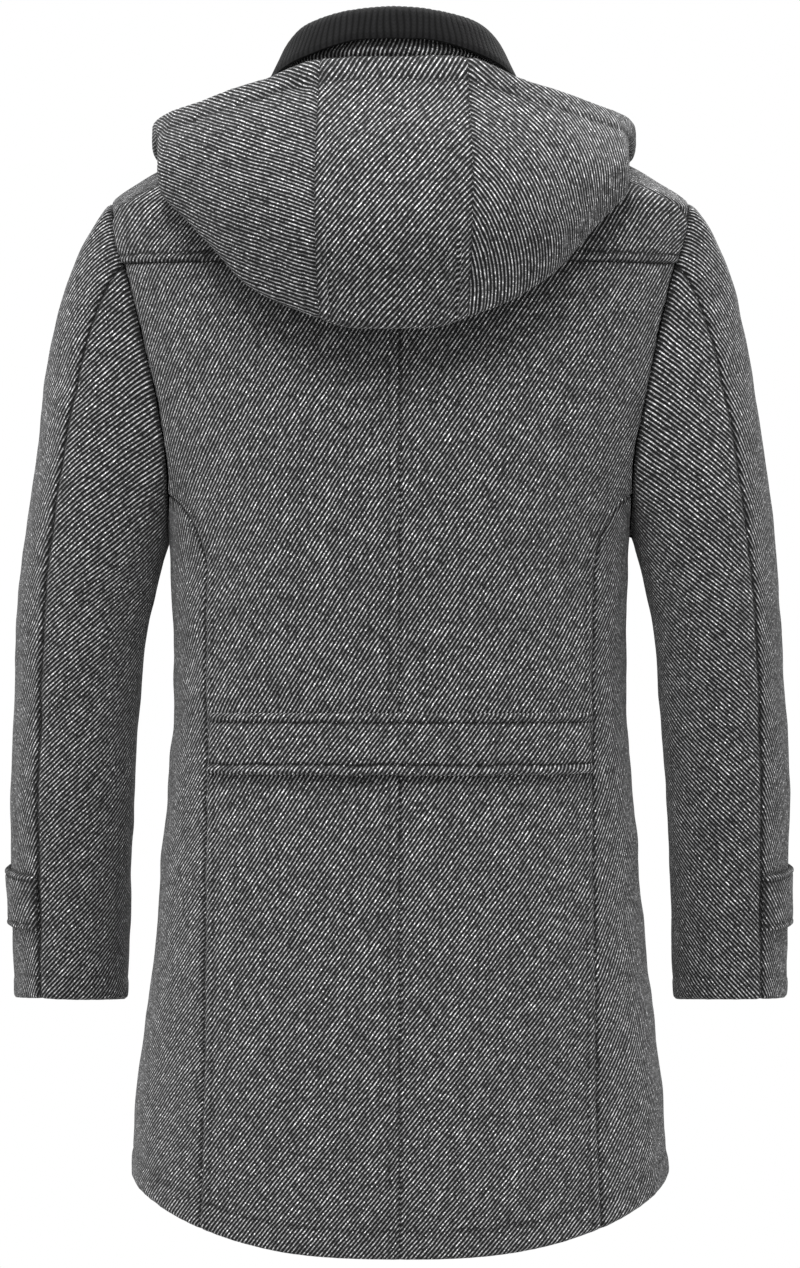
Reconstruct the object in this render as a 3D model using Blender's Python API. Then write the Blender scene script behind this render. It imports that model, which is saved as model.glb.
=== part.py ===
"""Hooded wool coat with a rib-knit collar, filled out as if worn, with nobody in it.

Metres, +Z up. The coat's front faces -Y and the wearer's left is +X. The origin is the centre of the
neck's base, where the coat rests on its wearer. Every piece is one wall of cloth. The body pieces lie
on one form, given by level sections; a place on it is (angle, level), with the angle in degrees from
the wearer's left side, 90 at the centre back and -90 at the centre front.
"""

import math

import bpy
import numpy as np

# ---------------------------------------------------------------- driving sizes
WALL = 0.0026  # coat cloth
KNIT_WALL = 0.0030  # rib-knit cloth between its ribs
SEAM_GAP = 0.0003

NECK_LEVEL = 0.0
YOKE_LEVEL = -0.112
HEM_SIDE_LEVEL = -0.7945
HEM_BACK_DIP = 0.043
HEM_FRONT_DIP = 0.027
HEM_CURVE = 2.08  # how squarely the hem turns up at the sides
SHOULDER_SEAM_ANGLE = 8.0  # where the shoulder seam starts at the neck

# Level sections of the body form, a superellipse each. front_drop lowers the front of the section.
BODY = {
    "columns": ("level", "half_width", "back", "front", "squareness", "front_drop"),
    "rows": (
        (0.0000, 0.0750, 0.0700, 0.0660, 2.00, 0.055),
        (-0.0100, 0.1120, 0.0780, 0.0760, 2.05, 0.050),
        (-0.0220, 0.1510, 0.0855, 0.0840, 2.10, 0.042),
        (-0.0350, 0.1825, 0.0915, 0.0905, 2.15, 0.034),
        (-0.0450, 0.1990, 0.0950, 0.0945, 2.18, 0.029),
        (-0.0552, 0.2150, 0.0985, 0.0980, 2.20, 0.024),
        (-0.0660, 0.2255, 0.1015, 0.1010, 2.25, 0.019),
        (-0.0900, 0.2265, 0.1070, 0.1070, 2.30, 0.010),
        (-0.1170, 0.2205, 0.1130, 0.1130, 2.35, 0.004),
        (-0.1500, 0.2120, 0.1180, 0.1185, 2.40, 0.0),
        (-0.2000, 0.1990, 0.1215, 0.1240, 2.45, 0.0),
        (-0.2500, 0.1865, 0.1225, 0.1265, 2.50, 0.0),
        (-0.3000, 0.1760, 0.1205, 0.1265, 2.50, 0.0),
        (-0.3440, 0.1723, 0.1175, 0.1250, 2.50, 0.0),
        (-0.4120, 0.1714, 0.1135, 0.1220, 2.50, 0.0),
        (-0.4810, 0.1744, 0.1145, 0.1220, 2.50, 0.0),
        (-0.5490, 0.1800, 0.1190, 0.1250, 2.50, 0.0),
        (-0.6180, 0.1862, 0.1240, 0.1285, 2.50, 0.0),
        (-0.6860, 0.1934, 0.1290, 0.1325, 2.50, 0.0),
        (-0.7540, 0.2003, 0.1330, 0.1365, 2.50, 0.0),
        (-0.8045, 0.2040, 0.1355, 0.1390, 2.50, 0.0),
        (-0.8700, 0.2075, 0.1380, 0.1410, 2.50, 0.0),
    ),
}

FULL_WIDTH_LEVEL = -0.25  # the shoulders' slope lies above it
HALVINGS = 40  # of a search for a level
NEAREST_STEPS = 12  # of a search for the nearest place

# The armhole, behind and in front: how far out it runs at each level.
ARMHOLE_TOP = -0.057
ARMHOLE_BOTTOM = -0.310
ARMHOLE = {
    "columns": ("level", "back_x", "front_x"),
    "rows": (
        (-0.0570, 0.2195, 0.2195),
        (-0.0912, 0.2140, 0.2110),
        (-0.1143, 0.2060, 0.2010),
        (-0.1745, 0.1910, 0.1850),
        (-0.2162, 0.1815, 0.1765),
        (-0.2736, 0.1745, 0.1720),
        (-0.3100, 0.1750, 0.1750),
    ),
}
SHOULDER_SEAM = {  # it swings to the back on its way down to the armhole
    "columns": ("level", "angle"),
    "rows": (
        (0.0, SHOULDER_SEAM_ANGLE),
        (-0.0100, 20.0),
        (-0.0220, 29.0),
        (-0.0350, 34.0),
        (-0.0450, 34.0),
        (-0.0552, 29.5),
        (-0.0660, 23.5),
        (-0.0800, 14.5),
    ),
}
# Where the seams meet the armhole, in degrees round it from its top, by way of the back.
AT_SHOULDER_SEAM = 31.0
AT_YOKE_SEAM = 54.0
AT_SIDE_BACK_SEAM = 139.4
AT_SIDE_FRONT_SEAM = 221.0
AT_SLEEVE_FRONT_SEAM = 240.0
# The stretches of the armhole between those places, and how many steps each takes.
ARMHOLE_STEPS = (
    (AT_SHOULDER_SEAM, AT_YOKE_SEAM, 4),
    (AT_YOKE_SEAM, AT_SIDE_BACK_SEAM, 6),
    (AT_SIDE_BACK_SEAM, AT_SIDE_FRONT_SEAM, 6),
    (AT_SIDE_FRONT_SEAM, AT_SLEEVE_FRONT_SEAM, 1),
    (AT_SLEEVE_FRONT_SEAM, 360.0 + AT_SHOULDER_SEAM, 11),
)

# Long seams of the body below the armhole: how far out each runs.
SIDE_BACK_SEAM = {
    "columns": ("level", "x"),
    "rows": (
        (-0.2800, 0.1735),
        (-0.2920, 0.1610),
        (-0.3060, 0.1525),
        (-0.3200, 0.1475),
        (-0.3400, 0.1445),
        (-0.4000, 0.1430),
        (-0.6000, 0.1430),
        (-0.8400, 0.1470),
    ),
}
SIDE_FRONT_SEAM = {
    "columns": ("level", "x"),
    "rows": (
        (-0.2800, 0.1715),
        (-0.3400, 0.1600),
        (-0.4200, 0.1560),
        (-0.6000, 0.1620),
        (-0.8400, 0.1740),
    ),
}
SEAM_LEVELS = (-0.292, -0.308, -0.330, -0.370, -0.425, -0.485, -0.550, -0.620, -0.690, -0.755)

# Sleeve below the armpit, by centre line and half-widths. fall_back is how steeply a section falls from
# front to back: nearly square to the centre line above, and cut the other way at the cuff.
SLEEVE_RING = -0.335
CUFF_LEVEL = -0.6665
SLEEVE = {
    "columns": ("level", "centre_x", "centre_y", "half_width", "half_depth", "fall_back"),
    "rows": (
        (-0.3350, 0.2345, 0.0020, 0.0510, 0.0660, 0.060),
        (-0.3670, 0.2395, 0.0000, 0.0493, 0.0625, 0.085),
        (-0.4120, 0.2442, -0.0050, 0.0486, 0.0590, 0.120),
        (-0.4580, 0.2478, -0.0110, 0.0476, 0.0565, 0.130),
        (-0.5040, 0.2505, -0.0185, 0.0472, 0.0550, 0.120),
        (-0.5490, 0.2520, -0.0270, 0.0464, 0.0540, 0.090),
        (-0.6180, 0.2535, -0.0400, 0.0446, 0.0530, 0.020),
        (-0.6665, 0.2545, -0.0500, 0.0436, 0.0525, -0.070),
        (-0.7000, 0.2550, -0.0560, 0.0434, 0.0520, -0.140),
    ),
}
SLEEVE_LEVELS = (-0.372, -0.415, -0.460, -0.510, -0.565, -0.620)
SLEEVE_BACK_SEAM = {  # in degrees round the sleeve from its outer side, by way of the back
    "columns": ("level", "angle"),
    "rows": ((-0.335, 57.0), (-0.400, 60.0), (-0.460, 61.0), (-0.560, 63.0), (-0.700, 62.0)),
}
CAP_ROWS = 7
# How the sleeve leaves the armhole: outward and backward shares of its direction at the top of the
# armhole, half way down and at the bottom, and how far the curve keeps to its two end directions.
CAP_OUTWARD_TOP = 0.74
CAP_OUTWARD_BOTTOM = 0.20
CAP_SIDEWAYS = 0.22
CAP_START_REACH = 0.20
CAP_END_REACH = 0.40

# Front closing: the left front laps over the right one. Each front has upright lines this far out
# from the middle on its own side, the first of them its edge; the right one's lie sunk, under the left.
LEFT_FRONT_LINES = (-0.028, -0.010, 0.010, 0.028)
RIGHT_FRONT_LINES = (-0.022, -0.006, 0.010, 0.028)
FRONT_INNER_LINE = 0.043
FRONT_SINK = WALL + 0.0007
FRONT_ROW_FALL = 0.003  # the least fall from one row of a front to the next

# Collar and hood sit a little to the wearer's left: how far, and how far from the neck seam that is whole.
NECK_LEAN = 0.0045
LEAN_REACH = 0.040

# Collar, by angle round the neckline. "out" is measured level, outward from the neckline.
COLLAR = {
    "columns": ("angle", "fold_out", "fold_z", "edge_out", "edge_z"),
    "rows": (
        (-90.0, 0.0080, -0.0240, 0.0260, -0.0530),
        (-82.0, 0.0080, -0.0215, 0.0262, -0.0505),
        (-40.0, 0.0060, 0.0230, 0.0320, -0.0090),
        (0.0, 0.0005, 0.0580, 0.0205, 0.0270),
        (45.0, -0.0010, 0.0740, 0.0152, 0.0460),
        (76.0, 0.0000, 0.0772, 0.0110, 0.0548),
        (90.0, 0.0000, 0.0775, 0.0105, 0.0550),
    ),
}
STAND_BELOW_FOLD = 0.012
STAND_LEAN = 0.5  # how much of the fold's distance out the stand's top goes
STAND_ROWS = 3
# Section of the knit cloth over the fold, from the fold's top.
FOLD = {
    "columns": ("out", "rise"),
    "rows": ((-0.0036, -0.0035), (0.0003, 0.0), (0.0055, -0.0040)),
}
BELOW_FOLD = (0.0070, -0.0050)  # where the straight fall to the edge starts
KNIT_FOOT_RISE = 0.004  # over the neck seam
KNIT_AT_STAND_TOP = -0.001
COLLAR_GAP = 0.0027  # between the stand and the knit cloth inside it
RIB_PITCH = 0.0043
RIB_HEIGHT = 0.0008

# Hood: stations along its neck seam, from the centre back to its end at the front neck.
HOOD_SEAM_STATION = 1.0
HOOD = {
    "columns": (
        "station",
        "neck_angle",
        "low_angle",
        "low_level",
        "bag",
        "edge_x",
        "edge_y",
        "edge_z",
    ),
    "rows": (
        (0.0, 90.0, 90.0, -0.1545, 0.052, 0.0000, 0.0880, 0.0368),
        (0.5, 67.0, 84.7, -0.1540, 0.052, 0.0272, 0.0878, 0.0367),
        (1.0, 46.0, 79.5, -0.1480, 0.050, 0.0540, 0.0865, 0.0355),
        (2.0, 33.0, 66.0, -0.1240, 0.042, 0.0980, 0.0790, 0.0225),
        (3.0, 21.0, 56.0, -0.0890, 0.028, 0.1370, 0.0630, 0.0115),
        (4.0, 10.0, 45.0, -0.0610, 0.013, 0.1660, 0.0430, 0.0050),
        (4.5, 4.5, 36.0, -0.0430, 0.006, 0.1770, 0.0280, 0.0010),
        (5.0, -1.0, 18.0, -0.0300, 0.004, 0.1815, 0.0120, -0.0035),
        (6.0, -12.0, -9.0, -0.0300, 0.006, 0.1740, -0.0240, -0.0145),
        (7.0, -24.0, -31.0, -0.0270, 0.008, 0.1440, -0.0560, -0.0260),
        (8.0, -36.0, -45.0, -0.0190, 0.006, 0.1100, -0.0710, -0.0320),
        (9.0, -48.0, -54.0, -0.0110, 0.004, 0.0800, -0.0760, -0.0370),
    ),
}
HOOD_END_STATION = 9.0
HOOD_NECK_LEVEL = -0.0012
HOOD_ROWS = 16
# Between neck seam and low fold: how far down, and how much of the clearance the cloth keeps.
HOOD_LAY = {"columns": ("share", "clearance"), "rows": ((0.12, 0.8), (0.40, 1.0), (0.70, 1.0))}
# Outside the fold: how far down from the edge, and how much of the bag the cloth stands out.
HOOD_BELLY = {"columns": ("share", "bag"), "rows": ((0.80, 1.0), (0.42, 0.86))}
HOOD_FOLD_DROP = 0.20  # share of the bag by which the fold hangs lower than the cloth on the body
HOOD_FOLD_OUT = 0.45  # share of the bag by which the fold's bottom stands out
HOOD_OUTWARD_BELOW = 0.08  # how far under the fold the body gives the bag its direction
HOOD_SIDE_COLUMNS = 14
HOOD_CENTRE_COLUMNS = 6
HOOD_NECK_CLEARANCE = 0.0023
HOOD_CLEARANCE = 0.0060
HOOD_TRIES = 41
CURVE_STEPS = 12  # between two stops of a smooth curve

# Half-belt and cuff tabs
BELT_TOP_LEVEL = -0.4430
BELT_BOTTOM_LEVEL = -0.4880
BELT_HALF_LENGTH = 0.1405
BELT_COLUMNS = 22
BELT_LIFT = 0.0011
TAB_TOP_LEVEL = -0.5640
TAB_BOTTOM_LEVEL = -0.6090
TAB_END_ANGLE = -52.0
TAB_COLUMNS = 10
TAB_LIFT = 0.0012
TAB_POINT = 0.012
TAB_SHORT_OF_SEAM = 0.6  # degrees

# Buttons
FRONT_BUTTON_TOP_Z = -0.115
FRONT_BUTTON_PITCH = 0.105
FRONT_BUTTONS = 5
FRONT_BUTTON_RADIUS = 0.0135
CUFF_BUTTON_RADIUS = 0.0090
BUTTON_THICKNESS = 0.0042
BUTTON_SIDES = 14
BUTTON_SEAT = 0.0004  # between a button and the cloth under it
CUFF_BUTTON_FROM_END = 22.0  # degrees from the tab's end
BUTTON_PROFILE = {  # in shares of the radius and of the thickness
    "columns": ("out", "height"),
    "rows": ((0.80, 0.0), (1.0, 0.45), (0.90, 1.0), (0.68, 0.86), (0.60, 0.62)),
}

MATERIALS = {  # name: colour, roughness
    "tweed": ((0.12, 0.12, 0.122), 0.95),
    "rib_knit": ((0.021, 0.021, 0.022), 0.95),
    "button": ((0.03, 0.028, 0.026), 0.35),
}


# ---------------------------------------------------------------- reading the tables
def read(table, name, at):
    """The named column at one value or many of the first column, along a smooth curve with no overshoot."""
    rows = np.array(table["rows"], float)
    rows = rows[np.argsort(rows[:, 0])]
    x, y = rows[:, 0], rows[:, table["columns"].index(name)]
    step, slope = np.diff(x), np.diff(y) / np.diff(x)
    inner = np.where(
        slope[:-1] * slope[1:] > 0,
        2 * slope[:-1] * slope[1:] / np.where(slope[:-1] + slope[1:] == 0, 1, slope[:-1] + slope[1:]),
        0.0,
    )
    tangent = np.concatenate([[slope[0]], inner, [slope[-1]]])
    at = np.asarray(at, float)
    i = np.clip(np.searchsorted(x, at) - 1, 0, len(x) - 2)
    t = (at - x[i]) / step[i]
    return (
        (2 * t**3 - 3 * t**2 + 1) * y[i]
        + (t**3 - 2 * t**2 + t) * step[i] * tangent[i]
        + (3 * t**2 - 2 * t**3) * y[i + 1]
        + (t**3 - t**2) * step[i] * tangent[i + 1]
    )


def unit(vectors):
    vectors = np.asarray(vectors, float)
    return vectors / np.maximum(np.linalg.norm(vectors, axis=-1, keepdims=True), 1e-12)


def between(a, b, share):
    return a + (b - a) * share


def mirrored(points):
    return points * np.array([-1.0, 1.0, 1.0])


def sine_power(angle, power):
    value = np.sin(np.radians(angle))
    return np.sign(value) * np.abs(value) ** power


def cosine_power(angle, power):
    value = np.cos(np.radians(angle))
    return np.sign(value) * np.abs(value) ** power


# ---------------------------------------------------------------- the body form
def body_point(angle, level):
    """The form's surface at an angle and a level."""
    angle, level = np.broadcast_arrays(np.asarray(angle, float), np.asarray(level, float))
    power = 2 / read(BODY, "squareness", level)
    sideways, backward = cosine_power(angle, power), sine_power(angle, power)
    depth = np.where(backward > 0, read(BODY, "back", level), read(BODY, "front", level))
    drop = read(BODY, "front_drop", level) * np.maximum(0, -np.sin(np.radians(angle))) ** 1.5
    return np.stack(
        [read(BODY, "half_width", level) * sideways, depth * backward, level - drop], axis=-1
    )


def body_normal(angle, level):
    turn, rise = 1.0, 0.0015
    level = np.minimum(level, NECK_LEVEL - rise)
    round_it = body_point(np.add(angle, turn), level) - body_point(np.subtract(angle, turn), level)
    up_it = body_point(angle, level + rise) - body_point(angle, level - rise)
    return unit(np.cross(round_it, up_it))


def angle_at_x(x, level, front=False):
    """The angle where the form is x out from the middle, on its back or its front."""
    half_width = read(BODY, "half_width", level)
    share = np.clip(np.abs(x) / half_width, 0, 1) ** (read(BODY, "squareness", level) / 2)
    angle = np.degrees(np.arccos(share))
    angle = np.where(np.asarray(x) < 0, 180 - angle, angle)
    return -angle if front else angle


def body_under(points):
    """(angle, level) of the form's surface straight under or over points, on its upper part."""
    x, y = np.abs(points[..., 0]), points[..., 1]
    high, low = np.zeros(x.shape), np.full(x.shape, FULL_WIDTH_LEVEL)
    for _ in range(HALVINGS):
        level = (high + low) / 2
        depth = np.where(y > 0, read(BODY, "back", level), read(BODY, "front", level))
        power = read(BODY, "squareness", level)
        outside = (x / read(BODY, "half_width", level)) ** power + (np.abs(y) / depth) ** power > 1
        high, low = np.where(outside, level, high), np.where(outside, low, level)
    share = np.clip(x / read(BODY, "half_width", level), 0, 1) ** (power / 2)
    return np.degrees(np.arccos(share)) * np.where(y < 0, -1, 1), level


def nearest_place(points, places):
    """(angle, level) of the form's surface nearest to points, worked out from places near them."""
    turn, fall = 0.2, 0.0005
    most = np.array([4.0, 0.012])  # degrees and metres in one step
    places = places.copy()
    for _ in range(NEAREST_STEPS):
        here = body_point(places[..., 0], places[..., 1])
        by_angle = (body_point(places[..., 0] + turn, places[..., 1]) - here) / turn
        by_level = (here - body_point(places[..., 0], places[..., 1] - fall)) / fall
        slopes = np.stack([by_angle, by_level], axis=-1)
        square = np.swapaxes(slopes, -1, -2) @ slopes
        pull = np.swapaxes(slopes, -1, -2) @ (points - here)[..., None]
        move = np.linalg.solve(square, pull)[..., 0]
        places += np.clip(move, -most, most)
        places[..., 1] = np.minimum(places[..., 1], NECK_LEVEL)
    return places


def hem_level(angle, front=False):
    """The hem is level with its sides' at the sides and hangs lower at the middle."""
    dip = HEM_FRONT_DIP if front else HEM_BACK_DIP
    return HEM_SIDE_LEVEL - dip * (1 - np.abs(np.cos(np.radians(angle))) ** HEM_CURVE)


# ---------------------------------------------------------------- the armhole
def armhole_place(around):
    """(angle, level) on the form of a place on the armhole, in degrees round it from its top."""
    around = np.asarray(around, float)
    middle, reach = (ARMHOLE_TOP + ARMHOLE_BOTTOM) / 2, (ARMHOLE_TOP - ARMHOLE_BOTTOM) / 2
    level = middle + reach * np.cos(np.radians(around))
    behind = angle_at_x(
        np.minimum(read(ARMHOLE, "back_x", level), read(BODY, "half_width", level)), level
    )
    before = -angle_at_x(
        np.minimum(read(ARMHOLE, "front_x", level), read(BODY, "half_width", level)), level
    )
    return np.stack([np.where(np.sin(np.radians(around)) >= 0, behind, before), level], axis=-1)


def armhole_samples(start, end):
    """The sample places of the armhole from one named place to another."""
    places = [AT_SHOULDER_SEAM]
    for low, high, steps in ARMHOLE_STEPS:
        places += list(np.linspace(low, high, steps + 1)[1:])
    places = np.array(places)
    return places[(places > start - 1e-6) & (places < end + 1e-6)]


def armhole_frame(around):
    """Points of the armhole seam, the shared direction through the cloth there, and the way to the sleeve."""
    around = np.asarray(around, float)
    place = armhole_place(around)
    points = body_point(place[:, 0], place[:, 1])
    before, after = armhole_place(around - 2), armhole_place(around + 2)
    along = unit(body_point(after[:, 0], after[:, 1]) - body_point(before[:, 0], before[:, 1]))
    sleeve_way = cap_direction(around)
    sleeve_normal = unit(np.cross(sleeve_way, along))
    body = body_normal(place[:, 0], place[:, 1])
    through = unit(body + sleeve_normal)
    to_sleeve = unit(np.cross(along, through))
    to_sleeve *= np.sign((to_sleeve * sleeve_way).sum(-1, keepdims=True))
    return points, through, to_sleeve


# ---------------------------------------------------------------- the sleeve form
def cap_direction(around):
    """The way in which the sleeve leaves the armhole."""
    turn = np.radians(around)
    outward = between(CAP_OUTWARD_BOTTOM, CAP_OUTWARD_TOP, (1 + np.cos(turn)) / 2)
    sideways = CAP_SIDEWAYS * np.sin(turn)
    down = -np.sqrt(np.maximum(1 - outward**2 - sideways**2, 0.05))
    return unit(np.stack([outward, sideways, down], axis=-1))


def sleeve_tube_point(around, level):
    """The sleeve below the armpit: sections that lean sideways with its centre line."""
    around, level = np.broadcast_arrays(np.asarray(around, float), np.asarray(level, float))
    out = read(SLEEVE, "half_width", level) * np.cos(np.radians(around))
    back = read(SLEEVE, "half_depth", level) * np.sin(np.radians(around))
    rise = 0.004
    lean_x = (read(SLEEVE, "centre_x", level + rise) - read(SLEEVE, "centre_x", level - rise)) / (2 * rise)
    return np.stack(
        [
            read(SLEEVE, "centre_x", level) + out,
            read(SLEEVE, "centre_y", level) + back,
            level - lean_x * out - read(SLEEVE, "fall_back", level) * back,
        ],
        axis=-1,
    )


def sleeve_cap_point(start, around, share):
    """From the armhole (share 0) to the tube's first ring (share 1) along one smooth curve."""
    place = armhole_place(start)
    first = body_point(place[..., 0], place[..., 1])
    last = sleeve_tube_point(around, SLEEVE_RING)
    length = np.linalg.norm(last - first, axis=-1, keepdims=True)
    below = sleeve_tube_point(around, SLEEVE_RING - 0.01)
    way_in = unit(last - below)
    near = first + cap_direction(start) * length * CAP_START_REACH
    far = last + way_in * length * CAP_END_REACH
    s = np.asarray(share, float)[..., None]
    return (
        (1 - s) ** 3 * first + 3 * (1 - s) ** 2 * s * near + 3 * (1 - s) * s**2 * far + s**3 * last
    )


def sleeve_grid(around_start):
    """Rows from the armhole to the cuff, columns at the given places of the armhole."""
    seam_at_armhole = np.array([AT_YOKE_SEAM, AT_SLEEVE_FRONT_SEAM, 360 + AT_YOKE_SEAM])
    ring_seam = float(read(SLEEVE_BACK_SEAM, "angle", SLEEVE_RING))

    def turned(seam_angle):
        return np.interp(
            around_start,
            seam_at_armhole,
            [seam_angle, AT_SLEEVE_FRONT_SEAM, 360 + seam_angle],
        )

    rows = []
    for share in np.linspace(0, 1, CAP_ROWS + 1):
        rows.append(
            sleeve_cap_point(around_start, turned(ring_seam), np.full(len(around_start), share))
        )
    for level in (*SLEEVE_LEVELS, CUFF_LEVEL):
        seam = float(read(SLEEVE_BACK_SEAM, "angle", level))
        rows.append(sleeve_tube_point(turned(seam), level))
    return np.array(rows)


# ---------------------------------------------------------------- walls
def grid_normals(points):
    """Unit normals of a grid of points, from its rows and columns."""
    down = np.gradient(points, axis=0)
    across = np.gradient(points, axis=1)
    return unit(np.cross(down, across))


def inset(points, normals, sides, distance):
    """Draws the named sides of a grid in by a distance, square to each side."""
    moved = points.copy()
    for side in sides:
        rolled = {
            "first_row": (points[0], points[1], normals[0]),
            "last_row": (points[-1], points[-2], normals[-1]),
            "first_column": (points[:, 0], points[:, 1], normals[:, 0]),
            "last_column": (points[:, -1], points[:, -2], normals[:, -1]),
        }[side]
        edge, inner, through = rolled
        along = unit(np.gradient(edge, axis=0))
        inward = unit(np.cross(through, along))
        inward *= np.sign((inward * (inner - edge)).sum(-1, keepdims=True))
        if side == "first_row":
            moved[0] += inward * distance
        elif side == "last_row":
            moved[-1] += inward * distance
        elif side == "first_column":
            moved[:, 0] += inward * distance
        else:
            moved[:, -1] += inward * distance
    return moved


ALL_SIDES = ("first_row", "last_row", "first_column", "last_column")
SPLIT_ORDER = np.array([0.31, 0.52, 0.80])  # no seam runs square to it


def material(name):
    made = bpy.data.materials.get(name)
    if made:
        return made
    made = bpy.data.materials.new(name)
    made.use_nodes = True
    shader = made.node_tree.nodes["Principled BSDF"]
    colour, roughness = MATERIALS[name]
    shader.inputs["Base Color"].default_value = (*colour, 1)
    shader.inputs["Roughness"].default_value = roughness
    shader.inputs["Metallic"].default_value = 0
    return made


def add_mesh(name, points, faces, material_name):
    points = np.asarray(points, float)
    volume = 0.0
    for face in faces:
        a = points[face[0]]
        for k in range(1, len(face) - 1):
            volume += float(np.dot(a, np.cross(points[face[k]], points[face[k + 1]])))
    if volume < 0:
        faces = [tuple(reversed(face)) for face in faces]
    mesh = bpy.data.meshes.new(name)
    mesh.from_pydata([tuple(p) for p in points], [], faces)
    mesh.materials.append(material(material_name))
    mesh.shade_smooth()
    mesh.set_sharp_from_angle(angle=math.radians(40))
    piece = bpy.data.objects.new(name, mesh)
    bpy.context.scene.collection.objects.link(piece)
    return piece


def split(a, b, c, d):
    """The two triangles of a four-sided face."""
    return [(a, b, c), (a, c, d)]


def split_edge(points, a, b, c, d):
    """The same for a face of a wall's edge, so that two walls with a seam between them split alike."""
    if np.abs(points[a]) @ SPLIT_ORDER < np.abs(points[b]) @ SPLIT_ORDER:
        return [(a, b, c), (a, c, d)]
    return [(a, b, d), (b, c, d)]


def add_wall(name, outer, inner, material_name="tweed"):
    """A closed wall between two grids of the same shape."""
    rows, columns = outer.shape[:2]
    count = rows * columns

    def at(i, j, side=0):
        return side * count + i * columns + j

    faces = []
    last_row, last_column = rows - 1, columns - 1
    for i in range(last_row):
        for j in range(last_column):
            faces += split(at(i, j), at(i + 1, j), at(i + 1, j + 1), at(i, j + 1))
            faces += split(at(i + 1, j, 1), at(i, j, 1), at(i, j + 1, 1), at(i + 1, j + 1, 1))
    points = np.concatenate([outer.reshape(-1, 3), inner.reshape(-1, 3)])
    ring = [(0, j) for j in range(last_column)]
    ring += [(i, last_column) for i in range(last_row)]
    ring += [(last_row, j) for j in range(last_column, 0, -1)]
    ring += [(i, 0) for i in range(last_row, 0, -1)]
    for a, b in zip(ring, ring[1:] + ring[:1]):
        faces += split_edge(points, at(*a), at(*b), at(*b, 1), at(*a, 1))
    return add_mesh(name, points, faces, material_name)


def add_both(name, outer, inner):
    """The piece on the wearer's left and its mirror image on the right."""
    add_wall(name + "_left", outer, inner)
    add_wall(name + "_right", mirrored(outer), mirrored(inner))


# ---------------------------------------------------------------- body panels
def coons(top, bottom, first, last):
    """A grid of (angle, level) places inside four boundary lines of such places."""
    v = np.linspace(0, 1, len(first))[:, None, None]
    u = np.linspace(0, 1, len(top))[None, :, None]
    corners = (
        (1 - v) * (1 - u) * top[0]
        + (1 - v) * u * top[-1]
        + v * (1 - u) * bottom[0]
        + v * u * bottom[-1]
    )
    return (1 - v) * top[None] + v * bottom[None] + (1 - u) * first[:, None] + u * last[:, None] - corners


def even_places(*borders):
    """The same, with the inner places as even over the form itself as they can be."""
    places = coons(*borders)
    in_space = coons(*(body_point(line[:, 0], line[:, 1]) for line in borders))
    places[1:-1, 1:-1] = nearest_place(in_space, places)[1:-1, 1:-1]
    return places


def neck_frame(angle):
    """The direction through the cloth that the neckline seam shares with the collar stand."""
    angle = np.asarray(angle, float)
    outward = body_normal(angle, np.full(angle.shape, FULL_WIDTH_LEVEL)) * np.array([1, 1, 0])
    return unit(unit(outward) + body_normal(angle, np.full(angle.shape, NECK_LEVEL)))


def body_wall(places, armhole_columns=(), neck_cells=None, sink=None, insets=ALL_SIDES):
    """Outer and inner grids of a panel on the form.

    armhole_columns lists (column, first row, places round the armhole). neck_cells marks the points
    of the first row that lie on the neckline. sink lowers points into the form.
    """
    angle, level = places[..., 0], places[..., 1]
    points = body_point(angle, level)
    normals = body_normal(angle, level)
    if sink is not None:
        points = points - normals * sink[..., None]
    for column, row, around in armhole_columns:
        seam, through, _ = armhole_frame(around)
        points[row : row + len(around), column] = seam
        normals[row : row + len(around), column] = through
    if neck_cells is not None:
        normals[0, neck_cells] = neck_frame(angle[0, neck_cells])
    outer = inset(points, normals, insets, SEAM_GAP / 2)
    return outer, outer - normals * WALL


def line_at_x(x, levels, front=False):
    return np.stack([angle_at_x(x, levels, front), levels], axis=-1)


def spread(values, first, last):
    """Values moved and scaled to run from first to last."""
    values = np.asarray(values, float)
    return first + (values - values[0]) * (last - first) / (values[-1] - values[0])


def shoulder_line(count):
    """(angle, level) places from the side of the neck to the armhole."""
    end = armhole_place(AT_SHOULDER_SEAM)
    level = np.linspace(NECK_LEVEL, end[1], count)
    angle = read(SHOULDER_SEAM, "angle", level)
    angle[-1] = end[0]
    return np.stack([angle, level], axis=-1)


def shoulder_seam(steps):
    """The same line in even steps."""
    fine = shoulder_line(FINE)
    points = body_point(fine[:, 0], fine[:, 1])
    travel = np.concatenate([[0], np.cumsum(np.linalg.norm(np.diff(points, axis=0), axis=-1))])
    at = np.linspace(0, travel[-1], steps + 1)
    return np.stack([np.interp(at, travel, fine[:, k]) for k in (0, 1)], axis=-1)


SHOULDER_STEPS = 5
HALF_NECK_STEPS = 4
FRONT_NECK_STEPS = 5
FINE = 400  # samples along a line that is split evenly


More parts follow.
